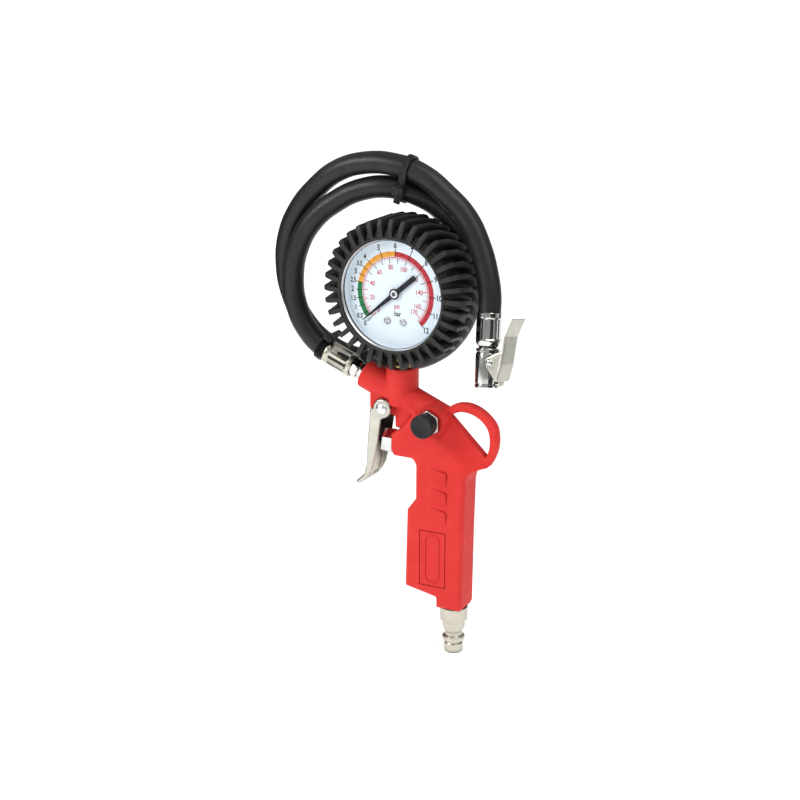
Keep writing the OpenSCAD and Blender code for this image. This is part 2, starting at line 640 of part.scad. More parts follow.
module chuck_lever() color(nickel) in_chuck() difference() {
    union() {
        plate(-lever_in - lever_t, lever_in + lever_t) polygon(lever_plate);
        for (s = [-1, 1]) {
            y0 = s < 0 ? -lever_in - lever_t : lever_in;
            plate(y0, y0 + lever_t) polygon(lever_cheek);
            bar_y(lever_pivot[0], lever_pivot[1], y0, y0 + lever_t, 2.6);
        }
        plate(-1.8, 1.8) polygon(claw);
    }
    bar_y(lever_pivot[0], lever_pivot[1], -12, 12, 1 + running);
}
module chuck_lever_pin() color(steel) in_chuck() {
    bar_y(lever_pivot[0], lever_pivot[1], -7.8, 7.8, 1);
    for (s = [0, 1]) mirror([0, s, 0])
        translate([lever_pivot[0], -7.5, lever_pivot[1]]) rotate([90, 0, 0])
            cylinder(r1 = 1.7, r2 = 1.2, h = 0.7);
}
module chuck_lever_spring() color(steel) in_chuck() translate([6.35, 0, -20.6]) rotate([0, 90, 0])
    coil(3.9, 1.6, 0.25, 4);

pistol_body();
air_plug();
plug_seal();
valve_gland_nut();
valve_o_ring();
valve_seat();
valve_stem();
valve_washer();
valve_spring();
trigger();
trigger_pin();
bleed_bush();
bleed_seal();
bleed_stem();
bleed_spring();
bleed_bellows();
bleed_cap();
gauge_socket();
gauge_case();
gauge_boot();
gauge_bezel();
gauge_lens();
gauge_dial();
dial_screws();
pointer();
pinion();
hairspring();
front_plate();
back_plate();
plate_posts();
sector_gear();
sector_arbor();
bourdon_link();
bourdon_tube();
hose_nipple();
hose_ferrule();
hose();
cable_tie();
chuck_ferrule();
chuck_nipple();
chuck_body();
chuck_seal();
chuck_depressor();
chuck_lever();
chuck_lever_pin();
chuck_lever_spring();
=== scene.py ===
"""Looks of the tyre inflator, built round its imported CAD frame.

Lengths are millimetres unless a name says otherwise.
"""
import json
from math import cos, pi, radians, sin, tan

import bmesh
import bpy
import numpy as np
from mathutils import Matrix, Vector


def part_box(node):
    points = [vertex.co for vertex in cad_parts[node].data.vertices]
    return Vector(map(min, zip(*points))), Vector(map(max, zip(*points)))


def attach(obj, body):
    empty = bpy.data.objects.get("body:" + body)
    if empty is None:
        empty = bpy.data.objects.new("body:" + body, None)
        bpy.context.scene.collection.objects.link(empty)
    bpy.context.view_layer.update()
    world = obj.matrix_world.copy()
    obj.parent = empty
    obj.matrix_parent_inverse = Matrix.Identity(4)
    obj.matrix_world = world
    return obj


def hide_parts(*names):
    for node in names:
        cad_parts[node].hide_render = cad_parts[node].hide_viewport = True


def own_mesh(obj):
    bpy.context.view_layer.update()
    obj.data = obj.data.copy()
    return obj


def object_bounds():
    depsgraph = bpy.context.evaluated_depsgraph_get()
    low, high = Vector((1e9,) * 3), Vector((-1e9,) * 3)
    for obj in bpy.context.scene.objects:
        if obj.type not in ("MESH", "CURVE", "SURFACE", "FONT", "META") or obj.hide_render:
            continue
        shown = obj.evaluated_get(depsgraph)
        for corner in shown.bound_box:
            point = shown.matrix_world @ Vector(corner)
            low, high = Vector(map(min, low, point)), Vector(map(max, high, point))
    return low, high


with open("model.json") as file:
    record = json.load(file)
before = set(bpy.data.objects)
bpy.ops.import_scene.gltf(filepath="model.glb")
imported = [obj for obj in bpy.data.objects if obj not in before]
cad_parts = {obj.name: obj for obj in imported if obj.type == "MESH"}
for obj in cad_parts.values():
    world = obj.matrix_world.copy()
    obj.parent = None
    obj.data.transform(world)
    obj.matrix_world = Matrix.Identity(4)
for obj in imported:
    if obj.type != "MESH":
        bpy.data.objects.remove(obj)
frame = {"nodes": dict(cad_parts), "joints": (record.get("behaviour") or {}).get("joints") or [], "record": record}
cad_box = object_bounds()
MM = 0.001
joints = {j["name"]: j for j in frame["joints"]}
mounts = {m["name"]: m for m in frame["record"]["mounts"]}


def added(name, data):
    """A new object in the scene."""
    obj = bpy.data.objects.new(name, data)
    bpy.context.scene.collection.objects.link(obj)
    return obj


# ---------- where things are ----------
def placed(origin, z_axis, x_axis=(1, 0, 0)):
    """A frame in millimetres: its origin (metres), its Z axis and the direction its X axis leans to."""
    z = Vector(z_axis).normalized()
    y = z.cross(Vector(x_axis)).normalized()
    turn = Matrix((y.cross(z), y, z)).transposed().to_4x4()
    return Matrix.Translation(origin) @ turn @ Matrix.Scale(MM, 4)


PIVOT = Vector(joints["trigger_pull"]["pos_m"])
GAUGE = placed(joints["pointer_turn"]["pos_m"], (0, -1, 0))
cap_low, cap_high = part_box("bleed_cap")
bleed_centre = (cap_low + cap_high) / 2
BLEED = placed((bleed_centre.x, 0, bleed_centre.z), (0, -1, 0))
TRIGGER = placed(PIVOT, (0, 0, 1))
WHOLE = Matrix.Scale(MM, 4)
BARREL_SLOPE = radians(22.5)
BARREL_OUT = Vector((-cos(BARREL_SLOPE), 0, sin(BARREL_SLOPE)))
PORT = Vector((-52.5, 0, 144.5))
BARREL = placed(PORT * MM, BARREL_OUT, (0, 1, 0))
mouth = mounts["chuck_mouth"]
CHUCK_UP = -Vector(mouth["axis"])
CHUCK_LEN = 37.4
lever_side = CHUCK_UP.cross(Vector(joints["chuck_lever_press"]["axis"]))
chuck_mouth_face = Vector(mouth["pos_m"]) - CHUCK_UP * mouth["dims"]["length_mm"] / 2 * MM
CHUCK = placed(chuck_mouth_face + CHUCK_UP * CHUCK_LEN * MM, CHUCK_UP, lever_side)
TIE = (Matrix.Translation(Vector((-32.2, 8.7, 246.8)) * MM) @ Matrix.Rotation(radians(105), 4, "Y")
       @ Matrix.Rotation(radians(12), 4, "Z") @ Matrix.Scale(MM, 4))

# ---------- camera ----------
VIEW_AZIMUTH = radians(27.3)
VIEW_ELEVATION = radians(16.8)
VIEW_DISTANCE = 0.85881
VIEW_TARGET = Vector((-0.03216, 0, 0.1325))
VIEW_LENS = 74.25


def aimed(name, data, where):
    """A new object at a point, turned to look at the middle of the view."""
    obj = added(name, data)
    obj.location = where
    obj.rotation_mode = "QUATERNION"
    obj.rotation_quaternion = (VIEW_TARGET - Vector(where)).to_track_quat("-Z", "Y")
    return obj


back = Vector((sin(VIEW_AZIMUTH) * cos(VIEW_ELEVATION),
               -cos(VIEW_AZIMUTH) * cos(VIEW_ELEVATION), sin(VIEW_ELEVATION)))
camera = bpy.data.cameras.new("camera")
camera.lens = VIEW_LENS
camera.sensor_width = 36
bpy.context.scene.camera = aimed("camera", camera, VIEW_TARGET + back * VIEW_DISTANCE)


# ---------- materials ----------
def feed(m, node, **inputs):
    """Sets inputs, named with underscores for spaces, to numbers, colours or other nodes' outputs."""
    for key, value in inputs.items():
        socket = node.inputs[key.replace("_", " ")]
        if isinstance(value, bpy.types.NodeSocket):
            m.node_tree.links.new(value, socket)
        else:
            socket.default_value = value
    return node


def new_node(m, kind, **inputs):
    return feed(m, m.node_tree.nodes.new("ShaderNode" + kind), **inputs)


def shader(name, colour, roughness, **inputs):
    """A Principled material and its shader node."""
    m = bpy.data.materials.new(name)
    m.use_nodes = True
    m.diffuse_color = (*colour, 1)
    principled = m.node_tree.nodes["Principled BSDF"]
    return m, feed(m, principled, Base_Color=(*colour, 1), Roughness=roughness, **inputs)


def noise(m, scale, detail=2.0, stretch=(1, 1, 1)):
    """Noise fixed to the piece, scale in cells per metre, longer along an axis that stretches under 1."""
    turn = new_node(m, "Mapping", Vector=new_node(m, "TexCoord").outputs["Object"], Scale=stretch)
    grain = new_node(m, "TexNoise", Vector=turn.outputs["Vector"], Scale=scale, Detail=detail)
    return grain.outputs["Fac"]


def spread(m, value, low, high, start=0.3, end=0.7):
    """The value, taken from start to end, spread from low to high."""
    node = new_node(m, "MapRange", Value=value, From_Min=start, From_Max=end, To_Min=low, To_Max=high)
    return node.outputs["Result"]


def mixed(m, factor, first, second):
    """A colour between two, by a factor."""
    node = new_node(m, "Mix")
    node.data_type = "RGBA"
    feed(m, node, Factor=factor, A=(*first, 1), B=(*second, 1))
    return node.outputs["Result"]


def bumped(m, principled, *layers):
    """Bumps, each a (height value, depth in metres) pair, one over another."""
    under = {}
    for height, depth in layers:
        node = new_node(m, "Bump", Height=height, Distance=depth, **under)
        under = {"Normal": node.outputs["Normal"]}
    feed(m, principled, **under)


def painted_crease_shade(m, colour, shade, reach):
    """The colour with painted shade: it goes over to a darker shade in corners and recesses narrower than the
    reach.
    """
    corner = new_node(m, "AmbientOcclusion", Distance=reach)
    corner.samples = 8
    result = mixed(m, spread(m, corner.outputs["AO"], 0, 1, 0.3, 0.85), shade, shade)
    feed(m, result.node, B=colour)
    return result


def red_enamel():
    m, p = shader("red_enamel", (0.66, 0.036, 0.031), 0.5, Specular_IOR_Level=0.14)
    patches = spread(m, noise(m, 90, 4), 0, 1)
    enamel = mixed(m, patches, (0.64, 0.031, 0.027), (0.69, 0.042, 0.036))
    # painted shade: the red goes over to a dark red in creases and corners
    feed(m, p, Base_Color=painted_crease_shade(m, enamel, (0.3, 0.007, 0.006), 0.0035),
         Roughness=spread(m, noise(m, 420, 3), 0.42, 0.58))
    bumped(m, p, (noise(m, 900, 3), 0.00012), (noise(m, 3200, 2), 0.00005))
    return m


def metal(name, colour, smooth, rough, grain_scale, grain_depth, stretch=(1, 1, 1), reach=0.004,
          metallic=1.0):
    """Plated or machined metal: its roughness runs from smooth to rough in patches, with a fine grain, and unless
    reach is 0 its colour takes painted shade in corners and recesses.
    """
    m, p = shader(name, colour, smooth, Metallic=metallic)
    darker = [c * 0.86 for c in colour]
    plate = mixed(m, spread(m, noise(m, 160, 3), 0, 1), darker, colour)
    # painted shade in corners and recesses narrower than the reach
    if reach:
        plate = painted_crease_shade(m, plate, [c * 0.2 for c in colour], reach)
    feed(m, p, Base_Color=plate, Roughness=spread(m, noise(m, 500, 4), smooth, rough))
    bumped(m, p, (noise(m, grain_scale, 3, stretch), grain_depth))
    return m


def rubber(name, colour, dusty, roughness, grain_scale, grain_depth):
    """Moulded rubber: fine matte grain, a little greyer where it is rubbed, and painted shade in its corners and
    recesses.
    """
    m, p = shader(name, colour, roughness, Sheen_Weight=0.01, Sheen_Roughness=0.5,
                  Specular_IOR_Level=0.3)
    surface = mixed(m, spread(m, noise(m, 220, 5), 0, 1), colour, dusty)
    feed(m, p, Base_Color=painted_crease_shade(m, surface, [c * 0.3 for c in colour], 0.005),
         Roughness=spread(m, noise(m, 700, 3), roughness - 0.07, roughness + 0.08))
    finer = noise(m, grain_scale * 3.5, 2)
    bumped(m, p, (noise(m, grain_scale, 3), grain_depth), (finer, grain_depth * 0.5))
    return m


def ink(name, colour, roughness=0.5):
    """Printing ink, a little uneven."""
    m, p = shader(name, colour, roughness, Specular_IOR_Level=0.2)
    paler = [c * 1.12 + 0.002 for c in colour]
    feed(m, p, Base_Color=mixed(m, spread(m, noise(m, 1500, 2), 0, 1), colour, paler))
    return m


def dial_paint():
    m, p = shader("dial_print", (0.76, 0.86, 0.95), 0.45)
    patches = spread(m, noise(m, 130, 3), 0, 1)
    feed(m, p, Base_Color=mixed(m, patches, (0.74, 0.85, 0.945), (0.79, 0.88, 0.955)))
    bumped(m, p, (noise(m, 2500, 2), 0.00001))
    return m


def lens_glass():
    m, p = shader("clear_lens", (0.2, 0.21, 0.22), 0.03, Alpha=0.03)
    feed(m, p, Roughness=spread(m, noise(m, 80, 3), 0.02, 0.07))
    return m


RED = red_enamel()
# metals with a reach above 0 take painted shade in corners and recesses; the brushed metal's reaches furthest
NICKEL = metal("nickel_plate", (0.6, 0.58, 0.49), 0.24, 0.36, 1300, 0.00003)
BRUSHED = metal("brushed_nickel", (0.58, 0.57, 0.5), 0.28, 0.4, 2600, 0.00004, (0.06, 1, 1), reach=0.014)
CHROME = metal("chromed_steel", (0.7, 0.7, 0.68), 0.07, 0.17, 700, 0.00001)
SATIN = metal("satin_chrome", (0.86, 0.87, 0.88), 0.3, 0.4, 1500, 0.00001, reach=0)
WIRE = metal("spring_steel", (0.56, 0.57, 0.59), 0.2, 0.34, 1500, 0.00002, reach=0)
BRASS = metal("brass", (0.74, 0.53, 0.24), 0.2, 0.36, 1600, 0.00002)
BOOT = rubber("boot_rubber", (0.014, 0.014, 0.012), (0.024, 0.024, 0.021), 0.5, 1400, 0.00008)
HOSE = rubber("hose_rubber", (0.011, 0.011, 0.010), (0.017, 0.017, 0.016), 0.36, 2400, 0.00003)
SEAL = rubber("soft_rubber", (0.014, 0.014, 0.014), (0.024, 0.024, 0.023), 0.6, 1800, 0.00004)
PLASTIC = rubber("black_plastic", (0.008, 0.008, 0.009), (0.014, 0.014, 0.015), 0.36, 1900, 0.00003)
CASE = metal("case_paint", (0.03, 0.03, 0.032), 0.38, 0.5, 1000, 0.00006, metallic=0)
DIAL = dial_paint()
GLASS = lens_glass()
INK_BLACK = ink("ink_black", (0.003, 0.004, 0.007))
NEEDLE = ink("needle_black", (0.003, 0.004, 0.007), 0.6)
INK_RED = ink("ink_red", (0.5, 0.012, 0.03))
INK_BAND = {"green": ink("ink_green", (0.002, 0.17, 0.045)),
            "orange": ink("ink_orange", (0.74, 0.33, 0.035)),
            "red": ink("ink_band_red", (0.46, 0.018, 0.03))}

# each CAD slot has its own material; the other materials share one of those slots
BY_SLOT = {"red_enamel": RED, "nickel_plate": NICKEL, "chromed_steel": CHROME, "spring_steel": WIRE,
           "brass": BRASS, "soft_rubber": SEAL, "boot_rubber": BOOT, "hose_rubber": HOSE,
           "black_plastic": PLASTIC, "case_paint": CASE, "dial_print": DIAL, "clear_lens": GLASS}
SLOTS = {m: slot for slot, m in BY_SLOT.items()}
SLOTS.update({BRUSHED: "nickel_plate", SATIN: "chromed_steel", NEEDLE: "black_plastic"})
SLOTS.update({m: "dial_print" for m in (INK_BLACK, INK_RED, *INK_BAND.values())})


# ---------- mesh helpers ----------
def finished(obj, material, *nodes, body="pistol"):
    """Gives a piece its material and body, and hides the CAD nodes that it stands for."""
    obj.data.materials.clear()
    obj.data.materials.append(material)
    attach(obj, body)
    if nodes:
        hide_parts(*nodes)
    return obj


def crisp(obj, degrees):
    """Smooth shading, but for edges that turn by more than so many degrees."""
    obj.data.set_sharp_from_angle(angle=radians(degrees))
    return obj


def mesh_object(name, points, faces, place=None, sharp=35):
    """A smooth-shaded mesh of points in the frame `place`, with edges over `sharp` degrees kept crisp."""
    mesh = bpy.data.meshes.new(name)
    mesh.from_pydata([tuple(map(float, p)) for p in points], [], [tuple(map(int, f)) for f in faces])
    if place is not None:
        mesh.transform(place)
    work = bmesh.new()
    work.from_mesh(mesh)
    bmesh.ops.remove_doubles(work, verts=work.verts, dist=1e-7)
    bmesh.ops.recalc_face_normals(work, faces=work.faces)
    work.to_mesh(mesh)
    work.free()
    mesh.shade_smooth()
    return crisp(added(name, mesh), sharp)


def rounded(points, radius, steps=4):
    """An outline with its corners turned into arcs; radius is one number or one for each corner."""
    count = len(points)
    radii = [radius] * count if isinstance(radius, (int, float)) else radius
    out = []
    for i, (here, r) in enumerate(zip(points, radii)):
        p = Vector(here)
        a, b = Vector(points[i - 1]) - p, Vector(points[(i + 1) % count]) - p
        half = a.angle(b) / 2
        if half > radians(86):
            out.append(tuple(here))
            continue
        reach = min(r / tan(half), 0.48 * a.length, 0.48 * b.length)
        a.normalize()
        b.normalize()
        centre = p + (a + b).normalized() * (reach / cos(half))
        start, end = p + a * reach - centre, p + b * reach - centre
        turn = start.angle_signed(end)
        for k in range(steps + 1):
            c, s = cos(-turn * k / steps), sin(-turn * k / steps)
            out.append((centre.x + start.x * c - start.y * s, centre.y + start.x * s + start.y * c))
    return out


def softened(points, rounds=2):
    """A closed outline with its corners cut again and again, until it is a smooth curve."""
    for _ in range(rounds):
        pairs = list(zip(points, points[1:] + points[:1]))
        points = [(a[0] * (1 - t) + b[0] * t, a[1] * (1 - t) + b[1] * t)
                  for a, b in pairs for t in (0.25, 0.75)]
    return points


def ring_faces(rings, size, closed=True):
    """Quads between neighbouring rings of so many points, and if closed from the last to the first."""
    pairs = [(i * size, (i + 1) % rings * size) for i in range(rings if closed else rings - 1)]
    return [(a + k, a + (k + 1) % size, b + (k + 1) % size, b + k) for a, b in pairs for k in range(size)]


def strip_faces(stations):
    """The sides and ends of a strip with four corners at each station, 0 and 3 being opposite."""
    last = 4 * (stations - 1)
    sides = [(a + j, a + k, a + 4 + k, a + 4 + j)
             for a in range(0, last, 4) for j, k in ((0, 1), (1, 3), (3, 2), (2, 0))]
    return [(0, 1, 3, 2), *sides, (last, last + 1, last + 3, last + 2)]


def lathe(name, profile, place, steps=72, radius_of=None):
    """A turned piece: profile is (radius, height) points round the frame's Z axis, closed into a ring
    where it starts off the axis. radius_of(radius, height, angle) can press a pattern into it."""
    points = []
    for r, z in profile:
        for k in range(steps):
            angle = 2 * pi * k / steps
            out = radius_of(r, z, angle) if radius_of else r
            points.append((out * cos(angle), out * sin(angle), z))
    return mesh_object(name, points, ring_faces(len(profile), steps, profile[0][0] > 0), place)


def prism(name, outline, low, high, place, edge=0.0):
    """An outline made solid along the frame's Z, its rims bevelled by `edge`."""
    obj = mesh_object(name, *solid_outline(outline, low, high), place)
    if edge:
        bevel(obj, edge * MM)
    return obj


def solid_outline(outline, low, high):
    """The points and faces of an outline made solid, its two ends last."""
    count = len(outline)
    points = [(x, y, z) for z in (low, high) for x, y in outline]
    ends = [tuple(range(count)), tuple(range(2 * count - 1, count - 1, -1))]
    return points, ring_faces(2, count, closed=False) + ends


def rect(left, low, right, high):
    return [(left, low), (right, low), (right, high), (left, high)]


def bevel(obj, width, angle=35):
    """Rounds the sharp edges of a mesh and applies the result."""
    m = obj.modifiers.new("bevel", "BEVEL")
    m.width = width
    m.segments = 2
    m.limit_method = "ANGLE"
    m.angle_limit = radians(angle)
    apply_modifiers(obj)
    crisp(obj, 40)


def apply_modifiers(obj):
    evaluated = obj.evaluated_get(bpy.context.evaluated_depsgraph_get())
    mesh = bpy.data.meshes.new_from_object(evaluated)
    obj.modifiers.clear()
    obj.data = mesh


def cut(obj, *tools):
    """Cuts closed meshes out of a piece, and removes them."""
    for tool in tools:
        m = obj.modifiers.new("cut", "BOOLEAN")
        m.object = tool
        m.solver = "EXACT"
        apply_modifiers(obj)
        bpy.data.objects.remove(tool)


def joined(name, objects):
    """Several meshes as one."""
    work = bmesh.new()
    for o in objects:
        o.data.transform(o.matrix_world)
        work.from_mesh(o.data)
    mesh = bpy.data.meshes.new(name)
    work.to_mesh(mesh)
    work.free()
    for o in objects:
        bpy.data.objects.remove(o)
    return crisp(added(name, mesh), 40)


# ---------- solids from distance fields ----------
def outline_field(outline, x, z):
    """Distance from (x, z) to a closed outline, negative inside."""
    nearest, inside = np.inf, False
    for (ax, az), (bx, bz) in zip(outline, [*outline[1:], outline[0]]):
        ex, ez, px, pz = bx - ax, bz - az, x - ax, z - az
        t = np.clip((px * ex + pz * ez) / (ex * ex + ez * ez), 0, 1)
        nearest = np.minimum(nearest, (px - t * ex) ** 2 + (pz - t * ez) ** 2)
        if abs(ez) > 1e-9:
            inside = inside ^ (((az <= z) != (bz <= z)) & (x < ax + pz * ex / ez))
    return np.where(inside, -1, 1) * np.sqrt(nearest)


def slab(flat, y, low, high, edge):
    """An outline's distance `flat` made solid from low to high in y, its rims rounded by `edge`."""
    a = flat + edge
    b = np.abs(y - (low + high) / 2) - (high - low) / 2 + edge
    return np.minimum(np.maximum(a, b), 0) + np.hypot(np.maximum(a, 0), np.maximum(b, 0)) - edge


def bar(x, y, z, start, direction, r, length, edge=0.0):
    """A round bar from start along a direction."""
    d = Vector(direction).normalized()
    px, py, pz = x - start[0], y - start[1], z - start[2]
    along = px * d.x + py * d.y + pz * d.z
    radial = np.sqrt(np.maximum(px * px + py * py + pz * pz - along * along, 0))
    return slab(radial - r, along, 0, length, edge)


def blend(a, b, soft):
    """The union of two distances, with a fillet about `soft` wide."""
    h = np.clip(0.5 + 0.5 * (b - a) / soft, 0, 1)
    return b + (a - b) * h - soft * h * (1 - h)


def carve(a, b, soft=0.25):
    """Distance a with b cut out, its new edges softened."""
    return -blend(-a, b, soft)


def pair_of_windows(axis, cells, others):
    """Two windows on a grid, one step apart along the axis and the same as `others` across it."""
    return [tuple(slice(far, cells[k] + far) if k == axis else others[k] for k in range(3))
            for far in (0, 1)]


def skin(name, field, low, high, step, place=WHOLE):
    """The surface where a distance field is zero, as quads, each point moved onto the surface."""
    axes = [np.arange(l - step, h + 2 * step, step) for l, h in zip(low, high)]
    grid = np.broadcast_to(field(axes[0][:, None, None], axes[1][None, :, None], axes[2][None, None, :]),
                           [len(a) for a in axes])
    inside = grid < 0
    cells = [n - 1 for n in grid.shape]
    total, count = np.zeros((*cells, 3)), np.zeros(cells)
    for axis in range(3):
        others = [k for k in range(3) if k != axis]
        for i in (0, 1):
            for j in (0, 1):
                beside = {k: slice(far, far + cells[k]) for k, far in zip(others, (i, j))}
                here, ahead = pair_of_windows(axis, cells, beside)
                crossed = inside[here] != inside[ahead]
                a, b = grid[here], grid[ahead]
                share = np.where(crossed, a / np.where(crossed, a - b, 1), 0)
                count += crossed
                total[..., axis] += share
                total[..., others[0]] += crossed * i
                total[..., others[1]] += crossed * j
    used = count > 0
    number = np.full(cells, -1)
    number[used] = np.arange(used.sum())
    points = (np.argwhere(used) + total[used] / count[used][:, None]) * step + [a[0] for a in axes]
    faces = []
    for axis in range(3):
        u, v = (axis + 1) % 3, (axis + 2) % 3
        here, ahead = pair_of_windows(axis, cells, [slice(1, -1)] * 3)
        crossed = inside[here] != inside[ahead]
        corner = np.argwhere(crossed) + [0 if k == axis else 1 for k in range(3)]
        ring = []
        for du, dv in ((1, 1), (0, 1), (0, 0), (1, 0)):
            shift = np.zeros(3, int)
            shift[u], shift[v] = du, dv
            ring.append(number[tuple((corner - shift).T)])
        quads = np.stack(ring, 1)
        outward = inside[here][crossed]
        faces.append(np.where(outward[:, None], quads, quads[:, ::-1]))
    for _ in range(3):
        value = field(*points.T)
        slope = np.stack([(field(*(points + d).T) - value) / 0.02 for d in np.eye(3) * 0.02], 1)
        size = np.maximum((slope ** 2).sum(1), 0.1)
        points = points - np.clip(value / size, -step / 2, step / 2)[:, None] * slope
    return mesh_object(name, points, np.concatenate(faces), place, 50)


def off_flat(angle, sides):
    """How far an angle is from the middle of the nearest of so many flats."""
    half = pi / sides
    return (angle + half) % (2 * half) - half


CRIMP_R = 5.62


def hexed(flats, low, high):
    """Turned stock milled to a hexagon of that width between two heights."""
    def radius(r, z, angle):
        return min(r, flats / 2 / cos(off_flat(angle, 6))) if low <= z <= high else r
    return radius


def smooth_step(value, start, end):
    t = min(1, max(0, (value - start) / (end - start)))
    return t * t * (3 - 2 * t)


def crimped(inner, sides, narrow, start, end):
    """Everything outside the inner radius pressed to flats; start and end are the heights (begun, done)
    over which the flats sink in and come out, and a `narrow` over 1 leaves ribs between the flats."""
    def radius(r, z, angle):
        if r <= inner:
            return r
        press = smooth_step(z, *start) * (1 - smooth_step(z, *end))
        flat = min(r, CRIMP_R / cos(off_flat(angle, sides) * narrow))
        return r + (flat - r) * press
    return radius


def rivet(name, half, where, steps, material, node):
    """A riveted pin with a domed head at each end, from the profile of its upper half."""
    profile = half + [(r, -z) for r, z in reversed(half)]
    return finished(lathe(name, profile, where, steps), material, node)


def refined(node, material, width):
    """The CAD node's own shape with its sharp edges broken."""
    mesh = frame["nodes"][node].data.copy()
    work = bmesh.new()
    work.from_mesh(mesh)
    bmesh.ops.remove_doubles(work, verts=work.verts, dist=1e-6)
    bmesh.ops.dissolve_limit(work, angle_limit=radians(1), verts=work.verts, edges=work.edges)
    work.to_mesh(mesh)
    work.free()
    mesh.shade_smooth()
    obj = added(node + "_turned", mesh)
    bevel(obj, width * MM, 40)
    return finished(obj, material, node)


def pressed_spring(name, node):
    """A copy of the CAD coil, in spring steel, with a mesh of its own."""
    obj = added(name, frame["nodes"][node].data.copy())
    finished(obj, WIRE, node)
    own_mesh(obj)
    return obj


# ---------- hose ----------
HOSE_R = 5.8
ROUTE = [
    (-62, 0, 148.5), (-75, 0, 154), (-86, 0, 162.5), (-93.5, 0, 176), (-95.5, 0, 192),
    (-92.5, 1, 208), (-84.5, 2.5, 222), (-71.5, 4.5, 233), (-57, 6.3, 240), (-42, 8.4, 242),
    (-29, 12, 238.8), (-17, 17, 231), (-8.2, 19.8, 219), (-3, 20.8, 206), (-1, 20.8, 192),
    (-4, 20.8, 178), (-11, 20.8, 165), (-22, 20.8, 155), (-37, 20.8, 148.5), (-53, 20, 145.6),
    (-69, 17.5, 147), (-84, 14.5, 153.5), (-96, 12.8, 164.5), (-103, 11.2, 179),
    (-105.3, 9.5, 195), (-103, 8.5, 211.5), (-96, 8, 226), (-84.5, 7.6, 239), (-71, 7, 248.8),
    (-55, 7, 253.7), (-39, 7.2, 253.8), (-24, 7.6, 249.8), (-10, 7.6, 240.5), (1.5, 7.2, 230),
    (9.5, 6, 216.5), (14.6, 4, 203.5), (17.3, 1.9, 192.8), (18, 0, 184.7), (18.8, -3, 171.6),
]


def make_hose():
    curve = bpy.data.curves.new("rubber_hose", "CURVE")
    curve.dimensions = "3D"
    curve.bevel_depth = HOSE_R * MM
    curve.bevel_resolution = 8
    curve.resolution_u = 10
    curve.use_fill_caps = True
    spline = curve.splines.new("BEZIER")
    spline.bezier_points.add(len(ROUTE) - 1)
    for knot, point in zip(spline.bezier_points, ROUTE):
        knot.co = Vector(point) * MM
        knot.handle_left_type = knot.handle_right_type = "AUTO"
    return finished(added("rubber_hose", curve), HOSE, "hose")


def make_chuck_ferrule():
    """Crimped on the hose: six pressed flats between a flared rim and a rounded end."""
    length, bend = 17, -13.6
    outer = [(6.3 - 0.16 * max(0, bend - z) ** 1.7, z) for z in [-0.25 - 0.3 * k for k in range(55)]]
    profile = [(5.85, 0), (6.1, 0), *outer, (4.5, -length + 0.05), (4.2, -length), (3, -length), (3, -15),
               (5.85, -15)]
    crimp = crimped(HOSE_R, 6, 1, (-13.8, -12.6), (-3.4, -2.3))
    obj = lathe("crimped_chuck_ferrule", profile, CHUCK, 120, crimp)
    return finished(obj, CHROME, "chuck_ferrule")


def make_chuck_body():
    profile = [(4.3, -37.4), (5.6, -37.4), (5.95, -37.05), (6, -35.9), (5.65, -35.7), (5.65, -35.2),
               (6, -35), (6, -20.4), (5.55, -20), (5.55, -19.3), (5.9, -19), (5.9, -18), (5.5, -17.6),
               (1.5, -17.6), (1.5, -26), (4.6, -26), (4.6, -28.4), (4.1, -28.4), (4.1, -37.2)]
    obj = lathe("turned_chuck_body", rounded(profile, 0.12, steps=2), CHUCK, 96)
    cut(obj, prism("window", rect(2.6, -2.2, 8.6, 2.2), -36.6, -32.4, CHUCK))
    return finished(crisp(obj, 30), CHROME, "chuck_body")


LEVER_PLATE = [(15.4, -2.5), (11.6, -11.2), (11.2, -16), (10.1, -25), (8, -33.8), (9.2, -33.6),
               (11.3, -25), (12.3, -16), (12.9, -11.1), (16.6, -2.1)]
LEVER_CHEEK = [(12.2, -15.4), (10.5, -18.4), (7, -19.6), (3, -21.9), (1.7, -24), (2, -26), (4.6, -29.6),
               (7.6, -33.9), (9.2, -33.6), (11.3, -25), (12.3, -16)]
LEVER_INSIDE = [(11.2, -12), (11.2, -16), (10.1, -25), (7.9, -34), (7.9, -40), (-8, -40), (-8, -12)]
LEVER_PIVOT = (4.2, -24.4)
CLAW = [(8, -33.2), (9.2, -33.6), (8.6, -35.9), (7.4, -36.3), (4.25, -36), (4.25, -34.6), (7.2, -34.9),
        (7.6, -34.4)]
LEVER_IN = 6.35
LEVER_OUT = 7.35


def lever_field(x, y, z):
    """Bent sheet: a plate with two cheeks folded from its lower half, and a claw."""
    plate = slab(outline_field(rounded(LEVER_PLATE, 0.5, steps=3), x, z), y, -LEVER_OUT, LEVER_OUT, 0.35)
    ear = np.hypot(x - LEVER_PIVOT[0], z - LEVER_PIVOT[1]) - 2.6
    side = np.minimum(outline_field(rounded(LEVER_CHEEK, 1, steps=3), x, z), ear)
    folded = carve(slab(side, y, -LEVER_OUT, LEVER_OUT, 0.9),
                   slab(outline_field(LEVER_INSIDE, x, z), y, -LEVER_IN, LEVER_IN, 0.3), 0.15)
    claw = slab(outline_field(CLAW, x, z), y, -1.8, 1.8, 0.25)
    solid = np.minimum(blend(plate, folded, 0.3), claw)
    return carve(solid, bar(x, y, z, (LEVER_PIVOT[0], -12, LEVER_PIVOT[1]), (0, 1, 0), 1.05, 24), 0.1)


def make_chuck_lever():
    obj = skin("bent_chuck_lever", lever_field, (1, -7.6, -36.6), (17, 7.6, -1.8), 0.34, CHUCK)
    return finished(obj, BRUSHED, "chuck_lever", body="chuck_lever")


# ---------- cable tie ----------
TIE_HALF = 6.05
STRAP_IN = 5.95
STRAP_OUT = 6.95
STRAP_HALF_WIDTH = 1.85


